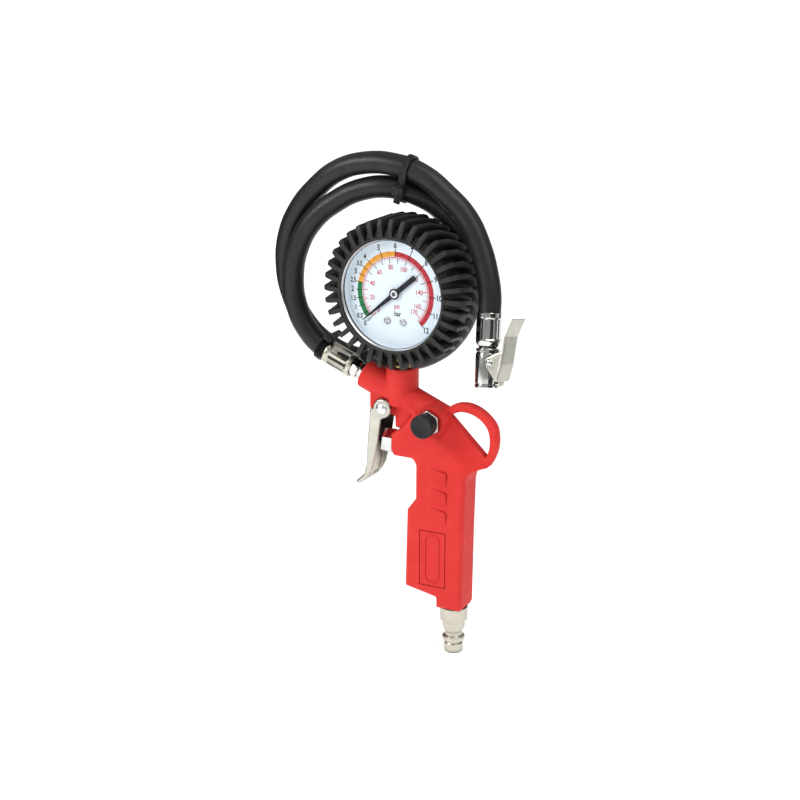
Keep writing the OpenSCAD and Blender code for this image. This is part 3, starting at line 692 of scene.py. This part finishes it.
def stadium_point(share):
    """A point of the tie's middle line and its outward direction, share from 0 to 1 round the loop."""
    straight, arc = 2 * TIE_HALF, pi * STRAP_OUT
    second_half, s = divmod(share * 2 * (straight + arc), straight + arc)
    if s < straight:
        point, outward = (s - TIE_HALF, 0), (0, -1)
    else:
        a = (s - straight) / STRAP_OUT - pi / 2
        point, outward = (TIE_HALF, 0), (cos(a), sin(a))
    turn = -1 if second_half else 1
    return (point[0] * turn, point[1] * turn), (outward[0] * turn, outward[1] * turn)


def make_cable_tie():
    """A strap with moulded cross ribs, its locking head and the cut tail."""
    stations = 150
    points = []
    w = STRAP_HALF_WIDTH
    for i in range(stations):
        (cx, cy), (dx, dy) = stadium_point(i / stations)
        top = STRAP_OUT - (0.22 if i % 2 else 0)
        half = [(top, w - 0.9), (STRAP_OUT, w - 0.8), (STRAP_OUT, w - 0.2), (STRAP_OUT - 0.2, w),
                (STRAP_IN, w)]
        ring = [(r, -z) for r, z in reversed(half)] + half
        points += [(cx + dx * r, cy + dy * r, z) for r, z in ring]
    strap = mesh_object("strap", points, ring_faces(stations, len(ring)), TIE, 25)
    box = prism("head", rounded(rect(1.2, -10.6, 6.2, -6.4), 0.6), -2.9, 2.9, TIE, 0.35)
    cut(box, prism("slot", rect(0, -9.6, 8, -8.1), -2.1, 2.1, TIE))
    tail = prism("tail", rect(0.6, -9.4, 10.6, -8.4), -w + 0.1, w - 0.1, TIE, 0.15)
    latch = rounded([(2, -11), (5.2, -11), (5.5, -10.5), (1.7, -10.5)], 0.2)
    pawl = prism("pawl", latch, -1.5, 1.5, TIE, 0.15)
    return finished(joined("nylon_cable_tie", [strap, box, tail, pawl]), PLASTIC, "cable_tie")


def make_end_tie():
    """A second tie, drawn tight on the hose where it enters its ferrule, with its tail left long."""
    where = placed(Vector((-76.9, 0, 155.15)) * MM, (-0.85, 0, 0.53))
    w, inner, edge = STRAP_HALF_WIDTH, 5.7, 6.75
    ribs = [(STRAP_OUT - (0.45 if k % 2 else 0), -w + 0.35 * k) for k in range(1, 11)]
    strap = lathe("end_strap", [(inner, -w), (edge, -w), *ribs, (edge, w), (inner, w)], where)
    side = where @ Matrix.Rotation(radians(-90), 4, "Y")
    head = prism("end_head", rounded(rect(-2.6, -4.6, 2.6, -0.4), 0.5), -9.6, -6.4, side, 0.3)
    tail = prism("end_tail", rect(-1.75, -5, 1.75, 10.5), -8.3, -7.1, side, 0.15)
    return finished(joined("end_cable_tie", [strap, head, tail]), PLASTIC)


hose = make_hose()
cord_pieces = [make_cable_tie(), make_end_tie(), make_chuck_ferrule(), make_chuck_body(),
               make_chuck_lever(),
               *(frame["nodes"][n] for n in ("chuck_nipple", "chuck_seal", "chuck_depressor"))]


def make_chuck_pin():
    half = [(0, 8.25), (0.7, 8.2), (1.35, 7.95), (1.7, 7.55), (1.7, 7.42), (1, 7.42)]
    where = placed(joints["chuck_lever_press"]["pos_m"], joints["chuck_lever_press"]["axis"], CHUCK_UP)
    return rivet("chuck_rivet", half, where, 40, CHROME, "chuck_lever_pin")


def make_lever_spring():
    return pressed_spring("chuck_coil", "chuck_lever_spring")


cord_pieces += [make_chuck_pin(), make_lever_spring()]

# ---------- pistol body ----------
BODY_HALF = 8.5
FOOT_Z = 23.2
RING_HALF = 2.5
DIAG_LOW, DIAG_HIGH = Vector((20.6, 106.5)), Vector((-4.5, 130.8))
BODY = rounded([
    (-7.2, FOOT_Z), (6.6, FOOT_Z), (7.6, 25.6), (8.3, 70), (9, 95), (10, 98.5), (12, 101), (15.7, 103),
    (19.6, 104.1), tuple(DIAG_LOW), tuple(DIAG_HIGH), (-16, 134.5), (-22, 137), (-27.3, 136.2),
    (-27.3, 130.5), (-21.2, 127.9), (-28.6, 119), (-33.7, 116.2), (-34, 107.2), (-32.1, 104.1),
    (-21.2, 104), (-19.3, 101), (-19.4, 82.3), (-24.3, 75.7), (-25.4, 32.5), (-7.3, 29)],
    [0.8, 0.8, 1, 3, 3, 3, 3, 3, 1, 1, 2, 1, 1, 1, 0.8, 0.4, 1.5, 2, 2.5, 1.5, 2.5, 2, 2, 2, 1.2, 0.8],
    steps=3)
RING = softened([
    (-6, 128), (-3.3, 133.2), (0.5, 135.4), (4.4, 136.5), (9.8, 136.4), (15.4, 134.3), (20.8, 130.2),
    (23.9, 126.1), (25, 120), (24.5, 113.8), (22.3, 108), (19.7, 104.2), (15, 104), (5, 115)])
RING_HOLE = softened([
    (-4, 124.5), (-3.4, 127), (-0.8, 129.7), (2.4, 131.1), (6.3, 131.4), (11, 130.4), (15.5, 127.8),
    (18.7, 124), (19.8, 119.3), (19.7, 114.5), (18.4, 110), (15.5, 106), (13, 106.5), (-2, 121)])
LUG_EAR = [(-46.6, 128.5), (-44.4, 125.3), (-41.6, 123.8), (-38, 123.8), (-35.2, 126)]
LUG = [(-46.6, 139), *LUG_EAR, (-33, 130), (-30, 134)]
WEB = [(-46.6, 136), *LUG_EAR, (-32.8, 124.6), (-32.6, 119), (-24, 118), (-10, 124), (-24, 133)]
# the facets that thin the body below the gauge: depth and half width of their edge, and their normal
FACET_EDGE = (-12, 8.85)
FACET_SLOPE = Vector((7.05, 13)).normalized()
GAUGE_X = GAUGE.translation.x / MM
BOSS_FOOT, BOSS_TOP = 131, 151.3
LABEL = rect(-16.4, 35.3, -1.2, 66.3)
LABEL_DEPTH = 0.5
PANEL_LINE = 0.45
MARK_TOPS = (99.4, 88.5, 77.8)
VALVE_Z = 109.5


def body_holes(x, y, z):
    """The drilled passages and threaded ports."""
    bleed_at = (bleed_centre.x / MM, -11.5, bleed_centre.z / MM)
    holes = [
        ((0, 0, FOOT_Z - 2), (0, 0, 1), 3.8, VALVE_Z - FOOT_Z + 2),
        ((0, 0, FOOT_Z - 2), (0, 0, 1), 5.7, 14.8),
        ((-36, 0, VALVE_Z), (1, 0, 0), 5, 38),
        ((-22, 0, VALVE_Z), (0, 0, 1), 2.2, 24),
        (PORT + BARREL_OUT, -BARREL_OUT, 3, 47),
        (PORT + BARREL_OUT, -BARREL_OUT, 4.75, 11),
        ((GAUGE_X, 0, 142), (0, 0, 1), 4.8, 12),
        (bleed_at, (0, 1, 0), 4, 10.7),
        ((PIVOT.x / MM, -9, PIVOT.z / MM), (0, 1, 0), 2, 18),
    ]
    return np.minimum.reduce(np.broadcast_arrays(*(bar(x, y, z, *hole) for hole in holes)))


def body_field(x, y, z):
    """The casting, negative inside: flat body, ring, barrel and bosses run together with fillets."""
    solid = slab(outline_field(BODY, x, z), y, -BODY_HALF, BODY_HALF, 2.6)
    run = (DIAG_HIGH - DIAG_LOW).normalized()
    along = (x - DIAG_LOW.x) * run.x + (z - DIAG_LOW.y) * run.y
    across = (x - DIAG_LOW.x) * run.y - (z - DIAG_LOW.y) * run.x
    facet = (across - FACET_EDGE[0]) * FACET_SLOPE[0] + (np.abs(y) - FACET_EDGE[1]) * FACET_SLOPE[1]
    solid = carve(solid, np.maximum(-facet, -6 - along), 0.5)
    ring = np.maximum(outline_field(RING, x, z), -outline_field(RING_HOLE, x, z))
    solid = blend(solid, slab(ring, y, -RING_HALF, RING_HALF, 1.9), 0.6)
    web = slab(outline_field(WEB, x, z), y, -4.5, 4.5, 0.5)
    lug = slab(outline_field(LUG, x, z), y, -6.4, 6.4, 0.5)
    solid = blend(solid, blend(web, lug, 0.3), 0.2)
    barrel = bar(x, y, z, PORT, -BARREL_OUT, 7.6, 51, 0.7)
    boss = bar(x, y, z, (GAUGE_X, 0, BOSS_FOOT), (0, 0, 1), 8.5, BOSS_TOP - BOSS_FOOT, 0.7)
    solid = blend(solid, blend(barrel, boss, 0.25), 0.25)
    bleed_boss = bar(x, y, z, (bleed_centre.x / MM, 0, bleed_centre.z / MM), (0, -1, 0), 8, 10.3, 0.5)
    return carve(blend(solid, bleed_boss, 0.25), body_holes(x, y, z), 0.2)


def grip_wedge(top, side):
    """A raised grip mark: upright ridges that climb to the right and sink towards the foot."""
    left, right, columns = -9.4, -1.1, 9
    points = []
    for k in range(2 * columns):
        share = (k + 1) // 2 / columns
        x = left + (right - left) * share
        step = (k // 2 + 1) / columns
        high = 0.1 + 0.85 * step * step + (0.14 if k % 2 == 0 else 0)
        low = 0.05 + 0.2 * step
        z_top = top + 1.7 * (1 - share)
        for z, rise in ((z_top, high), (z_top - 6.9, low)):
            points += [(x, side * (BODY_HALF - 0.5), z), (x, side * (BODY_HALF + rise), z)]
    return mesh_object("grip_wedge", points, strip_faces(2 * columns), WHOLE, 20)


def label_bead(side):
    """A raised line round a long oval, inside the panel on one flat side."""
    centre_x, centre_z, half_run, radius = -9, 50.8, 9.4, 4
    face = side * BODY_HALF
    section = [(-0.45, -0.3), (-0.42, 0), (-0.3, 0.36), (0, 0.45), (0.3, 0.36), (0.42, 0), (0.45, -0.3)]
    points, stations = [], 64
    for i in range(stations):
        a = 2 * pi * i / stations
        run = half_run if sin(a) >= 0 else -half_run
        for across, rise in section:
            points.append((centre_x + (radius + across) * cos(a), face + side * rise,
                           centre_z + run + (radius + across) * sin(a)))
    return mesh_object("label_bead", points, ring_faces(stations, len(section)), WHOLE)


def make_body():
    low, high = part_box("pistol_body")
    obj = skin("cast_body", body_field, low / MM, high / MM, 0.46)
    face = WHOLE @ Matrix.Rotation(radians(90), 4, "X")
    inner = [(x + (PANEL_LINE if x < -9 else -PANEL_LINE), z + (PANEL_LINE if z < 50 else -PANEL_LINE))
             for x, z in LABEL]
    for side in (-1, 1):
        depths = sorted((-side * (BODY_HALF - LABEL_DEPTH), -side * (BODY_HALF + 1)))
        line = prism("panel_line", LABEL, *depths, face)
        cut(line, prism("panel", inner, -20, 20, face))
        cut(obj, line)
        marks = [grip_wedge(top, side) for top in MARK_TOPS]
        name = "grip_marks_far" if side > 0 else "grip_marks_near"
        finished(joined(name, [label_bead(side), *marks]), RED)
    return finished(crisp(obj, 38), RED, "pistol_body")


make_body()

# ---------- air inlet and valve ----------
plug_profile = [
    (3, -2.7), (4.3, -2.7), (4.9, -2.1), (4.9, 2.2), (4.4, 2.8), (4.4, 3.8), (6, 4.3), (6, 6.3),
    (4.6, 7.1), (4.6, 8.8), (6, 11.8), (6, 15.5), (6.3, 15.7), (7.4, 15.7), (7.4, 23.1), (7.15, 23.15),
    (7.15, 22.2), (5.7, 22.2), (5.7, 33), (3, 33)]
plug = lathe("turned_air_plug", rounded(plug_profile, 0.3, steps=3), WHOLE, 96, hexed(13.9, 17.2, 21))
finished(plug, NICKEL, "air_plug")

# relative to the trigger's pivot: its side view, the hollow behind its front web, and the ear
TRIGGER_CHEEK = [
    (-45.6, 128), (-46, 121.9), (-47.3, 108), (-47.9, 96.8), (-49.3, 91.6), (-52.2, 88.9),
    (-54.3, 86.9), (-53.6, 85.8), (-51.4, 86.2), (-48.9, 88), (-46.7, 90.8), (-44.4, 94.7),
    (-41.9, 106.1), (-40.1, 117.3), (-39.2, 123), (-36, 125.2), (-40, 131)]
TRIGGER_HOLLOW = [
    (-44.7, 121.8), (-46, 107.9), (-46.6, 96.6), (-48.2, 91), (-51.2, 88), (-50.4, 80), (-25, 80),
    (-25, 140), (-60, 140), (-60, 122.4), (-45.6, 122.4)]
TRIGGER_IN = 7.5
TRIGGER_OUT = 8.7
EAR_R = 5.2


def from_pivot(outline):
    return [(x - PIVOT.x / MM, z - PIVOT.z / MM) for x, z in outline]


def trigger_field(x, y, z):
    """Pressed channel with bent edges, two ears and a curled lip."""
    side = outline_field(rounded(from_pivot(TRIGGER_CHEEK), 0.8, steps=3), x, z)
    side = blend(side, np.hypot(x, z) - EAR_R, 0.8)
    blank = slab(side, y, -TRIGGER_OUT, TRIGGER_OUT, 1.1)
    hollow = slab(outline_field(rounded(from_pivot(TRIGGER_HOLLOW), 0.5, steps=2), x, z), y,
                  -TRIGGER_IN, TRIGGER_IN, 0.5)
    return carve(carve(blank, hollow, 0.1), bar(x, y, z, (0, -12, 0), (0, 1, 0), 2.05, 24), 0.1)


finished(skin("pressed_trigger", trigger_field, (-16.2, -9, -43.8), (6.2, 9, 6.2), 0.4, TRIGGER),
         BRUSHED, "trigger", body="trigger")
rivet("trigger_rivet",
      [(0, 10.1), (0.9, 10.03), (1.8, 9.78), (2.6, 9.35), (3.1, 8.98), (3.2, 8.76), (1.98, 8.72)],
      placed(PIVOT, (0, 1, 0)), 56, SATIN, "trigger_pin")

# ---------- bleed valve ----------
# a black button: grooved round its side, with a dished front
button = [(0, 18.3), (4.7, 18.3), (4.7, 15.1), (5.8, 15.1), (6.2, 15.35), (6.2, 15.95), (5.85, 16.15),
          (5.85, 16.5), (6.2, 16.7), (6.2, 17.3), (5.85, 17.5), (5.85, 17.85), (6.2, 18.05), (6.2, 19.1),
          (6.05, 19.5), (5.7, 19.75), (5.2, 19.8), (4.6, 19.66), (3.2, 19.25), (1.6, 19.06), (0, 19.02)]
finished(lathe("grooved_button", button, BLEED, 80), PLASTIC, "bleed_cap", body="bleed_button")

bellows = lathe("rubber_bellows", [
    (4.6, 12.85), (5.6, 12.85), (5.9, 13.05), (5.9, 13.25), (5.2, 13.6), (5.9, 13.95), (5.9, 14.15),
    (5.2, 14.5), (5.7, 14.8), (5.7, 15.05), (4.6, 15.05)], BLEED, 64)
finished(bellows, SEAL, "bleed_bellows")
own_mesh(bellows)

# the raised red rim of the casting round the bush
rim = [(7.55, 9.6), (7.95, 9.6), (8.0, 10.1), (7.95, 10.32), (7.7, 10.36), (7.55, 10.3)]
finished(lathe("bleed_rim", rim, BLEED, 80), RED)

# ---------- gauge ----------
LIP_R = 28.6
CASE_R = 31
LUG_TIP = 39
LUG_COUNT = 36
# height above the gauge's middle, outer radius, half width at the root and at the tip
LUG_STATIONS = [(14.15, 33.8, 1.35, 1.3), (13.5, 36.8, 1.4, 1.2), (12.6, 38.7, 1.4, 1.15),
                (12.2, LUG_TIP, 1.4, 1.15),
                (4, LUG_TIP, 1.45, 1.15), (0, LUG_TIP, 1.5, 1.15), (-4, LUG_TIP, 1.5, 1.15),
                (-10.6, LUG_TIP, 1.5, 1.15), (-11.6, 38, 1.5, 1.2), (-12.6, 34.6, 1.4, 1.2)]


def lug_drift(height):
    """How far a lug has leaned clockwise, along the tread, on its way back from the front face."""
    front = (14.15 - max(height, 0)) * 0.14
    return front + max(0, -height) * 0.54


def make_lug(index):
    angle = 2 * pi * index / LUG_COUNT
    points = []
    for height, top, root_half, tip_half in LUG_STATIONS:
        root = 29.6 if height > 13 else 32.4
        at = angle - lug_drift(height) / LUG_TIP
        for r, half in ((root, root_half), (top, tip_half)):
            narrow = half * (0.85 if r < 31 else 1)
            for side in (-1, 1):
                points.append((r * cos(at) - side * narrow * sin(at),
                               r * sin(at) + side * narrow * cos(at), height))
    return mesh_object(f"lug_{index}", points, strip_faces(len(LUG_STATIONS)), GAUGE)


def make_boot():
    """A rubber sleeve like a tyre: lip, body and bent tread lugs, open below for the socket."""
    core = lathe("core", [
        (LIP_R, 12.95), (LIP_R, 13.9), (28.8, 14.12), (29, 14.2), (29.7, 14.2), (30, 14.0), (30.5, 12.6),
        (32.6, 11.6), (33.2, 11), (33.4, 10), (33.4, -10.6), (33.6, -12.5), (32.6, -13.1), (26.4, -13.2),
        (26, -12.9), (26, -12.05), (CASE_R, -12), (CASE_R, 12.95)], GAUGE, 180)
    opening = [(8 * cos(pi * k / 24), lift + 8 * sin(pi * k / 24))
               for lift, first in ((0, 24), (6, 0)) for k in range(first, first + 25)]
    where = Matrix.Translation(GAUGE.translation) @ Matrix.Scale(MM, 4)
    lugs = joined("lugs", [make_lug(i) for i in range(LUG_COUNT)])
    bevel(lugs, 0.22 * MM, 25)
    for obj in (core, lugs):
        cut(obj, prism("opening", opening, -LUG_TIP - 3, -LUG_TIP + 9, where))
    return finished(crisp(joined("tyre_boot", [core, lugs]), 32), BOOT, "gauge_boot")


DIAL_TOP = 8.0
BAND_IN, BAND_OUT = 19.0, 21.7
NUMBER_R = 24.6
PRINT = 0.03
ZERO_ANGLE = -135
NEEDLE_REST = -130
BAR_ANGLE = 22.5
PSI_ANGLE = BAR_ANGLE / 14.504


def around(radius, degrees):
    """A point on the dial at so many degrees clockwise from the top."""
    a = radians(degrees)
    return Vector((radius * sin(a), radius * cos(a)))


def arc_mark(name, inner, outer, start, end):
    count = max(2, round(end - start))
    degrees = [start + (end - start) * k / count for k in range(count + 1)]
    outline = [around(outer, d) for d in degrees] + [around(inner, d) for d in reversed(degrees)]
    points, faces = solid_outline(outline, DIAL_TOP, DIAL_TOP + PRINT)
    caps = []
    for k in range(count):
        far = 2 * count + 1 - k
        for base in (0, 2 * count + 2):
            caps.append((base + k, base + k + 1, base + far - 1, base + far))
    return mesh_object(name, points, faces[:-2] + caps, GAUGE)


def tick_mark(name, inner, outer, degrees, width, lift=0.0):
    out = around(1, degrees)
    across = Vector((out.y, -out.x)) * width / 2
    outline = [out * inner - across, out * outer - across, out * outer + across, out * inner + across]
    return prism(name, outline, DIAL_TOP, DIAL_TOP + PRINT + lift, GAUGE)


def text_mark(name, text, radius, degrees, height, weight=0.0, squeeze=0.78):
    """Upright lettering centred on a point of the dial."""
    curve = bpy.data.curves.new(name, "FONT")
    curve.body = text
    curve.size = height * 1.38
    curve.align_x = "CENTER"
    curve.align_y = "CENTER"
    curve.extrude = PRINT / 2
    curve.offset = weight * height
    curve.resolution_u = 3
    source = added(name, curve)
    mesh = bpy.data.meshes.new_from_object(source)
    bpy.data.objects.remove(source)
    x, y = around(radius, degrees)
    where = Matrix.Translation((x, y, DIAL_TOP + PRINT / 2)) @ Matrix.Diagonal((squeeze, 1, 1, 1))
    mesh.transform(GAUGE @ where)
    return added(name, mesh)


def bar_at(value):
    return ZERO_ANGLE + BAR_ANGLE * value


def psi_at(value):
    return ZERO_ANGLE + PSI_ANGLE * value


def make_dial_print():
    for colour, start, end in (("green", 0.3, 2.5), ("orange", 2.5, 6), ("red", 6, 12)):
        band = arc_mark(f"{colour}_band", BAND_IN, BAND_OUT, bar_at(start), bar_at(end))
        finished(band, INK_BAND[colour])
    black = [text_mark("bar_unit", "bar", 10.5, 173, 2.7, 0.03)]
    for k in range(9):
        value = k / 2
        black.append(tick_mark("tick", BAND_IN, 22.7, bar_at(value), 0.4, 0.02))
        height = 2.5 if k % 2 else 2.8
        black.append(text_mark("number", f"{value:g}", NUMBER_R, bar_at(value), height, 0.035))
    for value in range(5, 13):
        black.append(tick_mark("tick", BAND_IN, 22.9, bar_at(value), 0.45, 0.02))
        black.append(tick_mark("half", 20.4, BAND_OUT, bar_at(value - 0.5), 0.28, 0.02))
        black.append(text_mark("number", f"{value}", NUMBER_R, bar_at(value), 3, 0.035))
    red = [arc_mark("inner_line", 18.4, 18.75, bar_at(0.1), bar_at(12)),
           text_mark("psi_unit", "psi", 6.6, 172, 2.6, 0.02)]
    for value in range(0, 175, 2):
        long = value % 10 == 0
        mark = tick_mark("psi_tick", 15.8 if long else 17.3, 18.5, psi_at(value), 0.4 if long else 0.22)
        (black if long and 40 < value < 140 else red).append(mark)
    for value in (*range(0, 161, 20), 170):
        red.append(text_mark("psi_number", f"{value}", 13.6, psi_at(value), 2.6, 0.02))
    finished(joined("black_print", black), INK_BLACK)
    finished(joined("red_print", red), INK_RED)


def make_pointer():
    """A flat needle, tapered to a fine tip, with a broad tail and a hub held by a bright nut."""
    edge = [(0.2, 24), (1.15, 3), (1.2, 0), (1.3, -2), (1.35, -15.1)]
    needle = [(-0.2, 24), *edge, *((-x, y) for x, y in reversed(edge[1:]))]
    turn = Matrix.Rotation(radians(-NEEDLE_REST), 4, "Z")
    plate = prism("needle", rounded(needle, 0.15, steps=2), 8.9, 9.3, GAUGE @ turn, 0.1)
    hub = lathe("hub", [(0.62, 8.5), (2.1, 8.5), (2.1, 9.25), (2.75, 9.27), (2.75, 9.5), (2.5, 9.62),
                        (1.6, 9.64), (0.62, 9.64)], GAUGE, 56)
    finished(joined("dial_needle", [plate, hub]), NEEDLE, "pointer", body="pointer")
    ring = rounded([(1.1, 9.62), (2, 9.62), (2, 9.76), (1.7, 9.96), (1.1, 9.96)], 0.06, steps=2)
    nut = lathe("hub_nut", ring, GAUGE, 48)
    finished(nut, SATIN, body="pointer")


def make_dial_screws():
    screws = []
    for x in (-4.5, 4.5):
        where = GAUGE @ Matrix.Translation((x, -14.5, 0))
        profile = [(0, 5.7), (0.8, 5.7), (0.8, 8), (2, 8), (2, 8.25), (1.75, 8.6), (1.2, 8.78), (0, 8.8)]
        head = lathe("screw", profile, where, 40)
        slots = [prism("slot", rect(-1.5, -0.25, 1.5, 0.25), 8.35, 9.5,
                       where @ Matrix.Rotation(radians(turn), 4, "Z")) for turn in (25, 115)]
        cut(head, *slots)
        screws.append(crisp(head, 30))
    return finished(joined("cross_screws", screws), WIRE, "dial_screws")


make_boot()
make_dial_print()
make_pointer()
make_dial_screws()
bezel = [(LIP_R + 0.1, 12.93), (LIP_R, 12.85), (28.5, 12.75), (28.05, 12), (27.95, 11.52),
         (CASE_R, 11.52), (CASE_R, 12.93)]
finished(lathe("rolled_bezel", bezel, GAUGE, 160), SATIN, "gauge_bezel")
# the pale wall between the dial and the bezel, and the dark gasket that shows under the bezel
wall = [(27.3, 7.95), (27.3, 8.02), (28, 8.06), (28.2, 9.9), (28.4, 9.9), (28.4, 7.95)]
finished(lathe("dial_wall", wall, GAUGE, 160), DIAL)
gasket = [(27.7, 11.52), (27.75, 11.62), (28, 11.62), (28, 11.52)]
finished(lathe("lens_gasket", gasket, GAUGE, 160), SEAL)

# ---------- hose ends ----------
# the hexagonal collar of the hose end, with its thread and barb out of sight
nipple = [(1.8, -9.5), (4.75, -9.5), (4.75, 0.02), (5.0, 0.05), (5.35, 0.6), (5.35, 2.1), (4.5, 2.4),
          (4.5, 3.1), (5.35, 3.4), (5.35, 6.7), (5.0, 7.26), (2.9, 7.3), (2.9, 21), (1.8, 21)]
finished(lathe("hex_hose_nipple", nipple, BARREL, 120, hexed(9.5, 0.3, 7)), CHROME, "hose_nipple")


def make_hose_ferrule():
    """Eight long flats pressed between two round rims."""
    start, length = 7.3, 16.7
    end = start + length
    outer = [(6.35, start + 0.5 + (length - 1) * k / 44) for k in range(45)]
    profile = [(5.2, start + 0.05), (6.05, start + 0.05), *outer, (6.1, end), (5.84, end),
               (5.75, end - 0.5), (5.2, end - 1)]
    crimp = crimped(6, 8, 1.25, (start + 2, start + 3.4), (end - 3.4, end - 2))
    obj = lathe("crimped_hose_ferrule", profile, BARREL, 144, crimp)
    return finished(obj, NICKEL, "hose_ferrule")


for name, joint, axis, travel in (("bleed", "bleed_press", (0, 1, 0), 2),
                                  ("valve", "valve_slide", (1, 0, 0), 3.4)):
    pressed_spring(name + "_coil", name + "_spring")

make_hose_ferrule()
refined("valve_gland_nut", CHROME, 0.25)
refined("bleed_bush", CHROME, 0.3)

# ---------- the rest of the frame keeps its shape ----------
for part in frame["record"]["subparts"]:
    mesh = frame["nodes"][part["node"]].data
    mesh.materials.clear()
    mesh.materials.append(BY_SLOT[part["material_slot"]])


# ---------- floor, lights and the end ----------
def sheet(name, half_width, half_height, z=0.0):
    """A flat mesh, in metres."""
    mesh = bpy.data.meshes.new(name)
    corners = rect(-half_width, -half_height, half_width, half_height)
    mesh.from_pydata([(x, y, z) for x, y in corners], [], [(0, 1, 2, 3)])
    return mesh


def staged(obj, *unseen_by):
    """Hides a piece of the stage from some kinds of ray."""
    for ray in unseen_by:
        setattr(obj, "visible_" + ray, False)


def make_floor():
    mesh = sheet("floor", 9, 9, cad_box[0].z)
    # painted light: the floor glows, faintly near the middle and more the farther out, so that it stays white
    # where the lamps fall off
    pale, p = shader("pale_floor", (0.85, 0.85, 0.85), 0.8, Emission_Color=(1, 1, 1, 1))
    reach = new_node(pale, "VectorMath", Vector=new_node(pale, "TexCoord").outputs["Object"])
    reach.operation = "LENGTH"
    feed(pale, p, Emission_Strength=spread(pale, reach.outputs["Value"], 0.45, 0.8, 0.15, 1.2))
    mesh.materials.append(pale)
    staged(added("floor", mesh))


def make_backdrop():
    """A white wall round the floor, which only the camera sees, so that no view shows a horizon."""
    count, radius, height = 96, 8.9, 3
    ring = [(radius * cos(2 * pi * k / count), radius * sin(2 * pi * k / count)) for k in range(count)]
    low = cad_box[0].z - 0.01
    points = [(x, y, z) for z in (low, low + height) for x, y in ring]
    mesh = bpy.data.meshes.new("backdrop")
    mesh.from_pydata(points, [], ring_faces(2, count, closed=False))
    white, _ = shader("backdrop_white", (0, 0, 0), 1, Emission_Strength=1.05,
                      Emission_Color=(1, 1, 1, 1), Specular_IOR_Level=0)
    mesh.materials.append(white)
    staged(added("backdrop", mesh), "diffuse", "glossy", "shadow")


def light(name, where, size, power):
    data = bpy.data.lights.new(name, "AREA")
    data.shape = "RECTANGLE"
    data.size, data.size_y = size
    data.energy = power
    aimed(name, data, where)


def dark_card(name, where, width, height):
    """A black card that only shiny surfaces see, so that metal has something dark to reflect."""
    mesh = sheet(name, width / 2, height / 2)
    black, _ = shader(name, (0.015, 0.015, 0.015), 0.9)
    mesh.materials.append(black)
    staged(aimed(name, mesh, where), "camera", "diffuse", "shadow", "transmission")


make_floor()
make_backdrop()
light("key", (-0.75, -0.85, 0.8), (0.45, 0.6), 9)
light("fill", (0.8, -0.3, 0.9), (0.6, 0.6), 3)
light("top", (0.3, -0.15, 1.1), (0.8, 0.5), 3.5)
dark_card("left_card", (-0.42, 0.02, 0.18), 0.6, 0.36)
dark_card("right_card", (0.37, -0.2, 0.18), 0.34, 0.36)
dark_card("back_card", (0.31, 0.29, 0.18), 0.25, 0.36)
world = bpy.data.worlds.new("studio")
world.use_nodes = True
world.node_tree.nodes["Background"].inputs["Color"].default_value = (1, 1, 1, 1)
world.node_tree.nodes["Background"].inputs["Strength"].default_value = 0.38
bpy.context.scene.world = world
bpy.context.scene.view_settings.view_transform = "Standard"
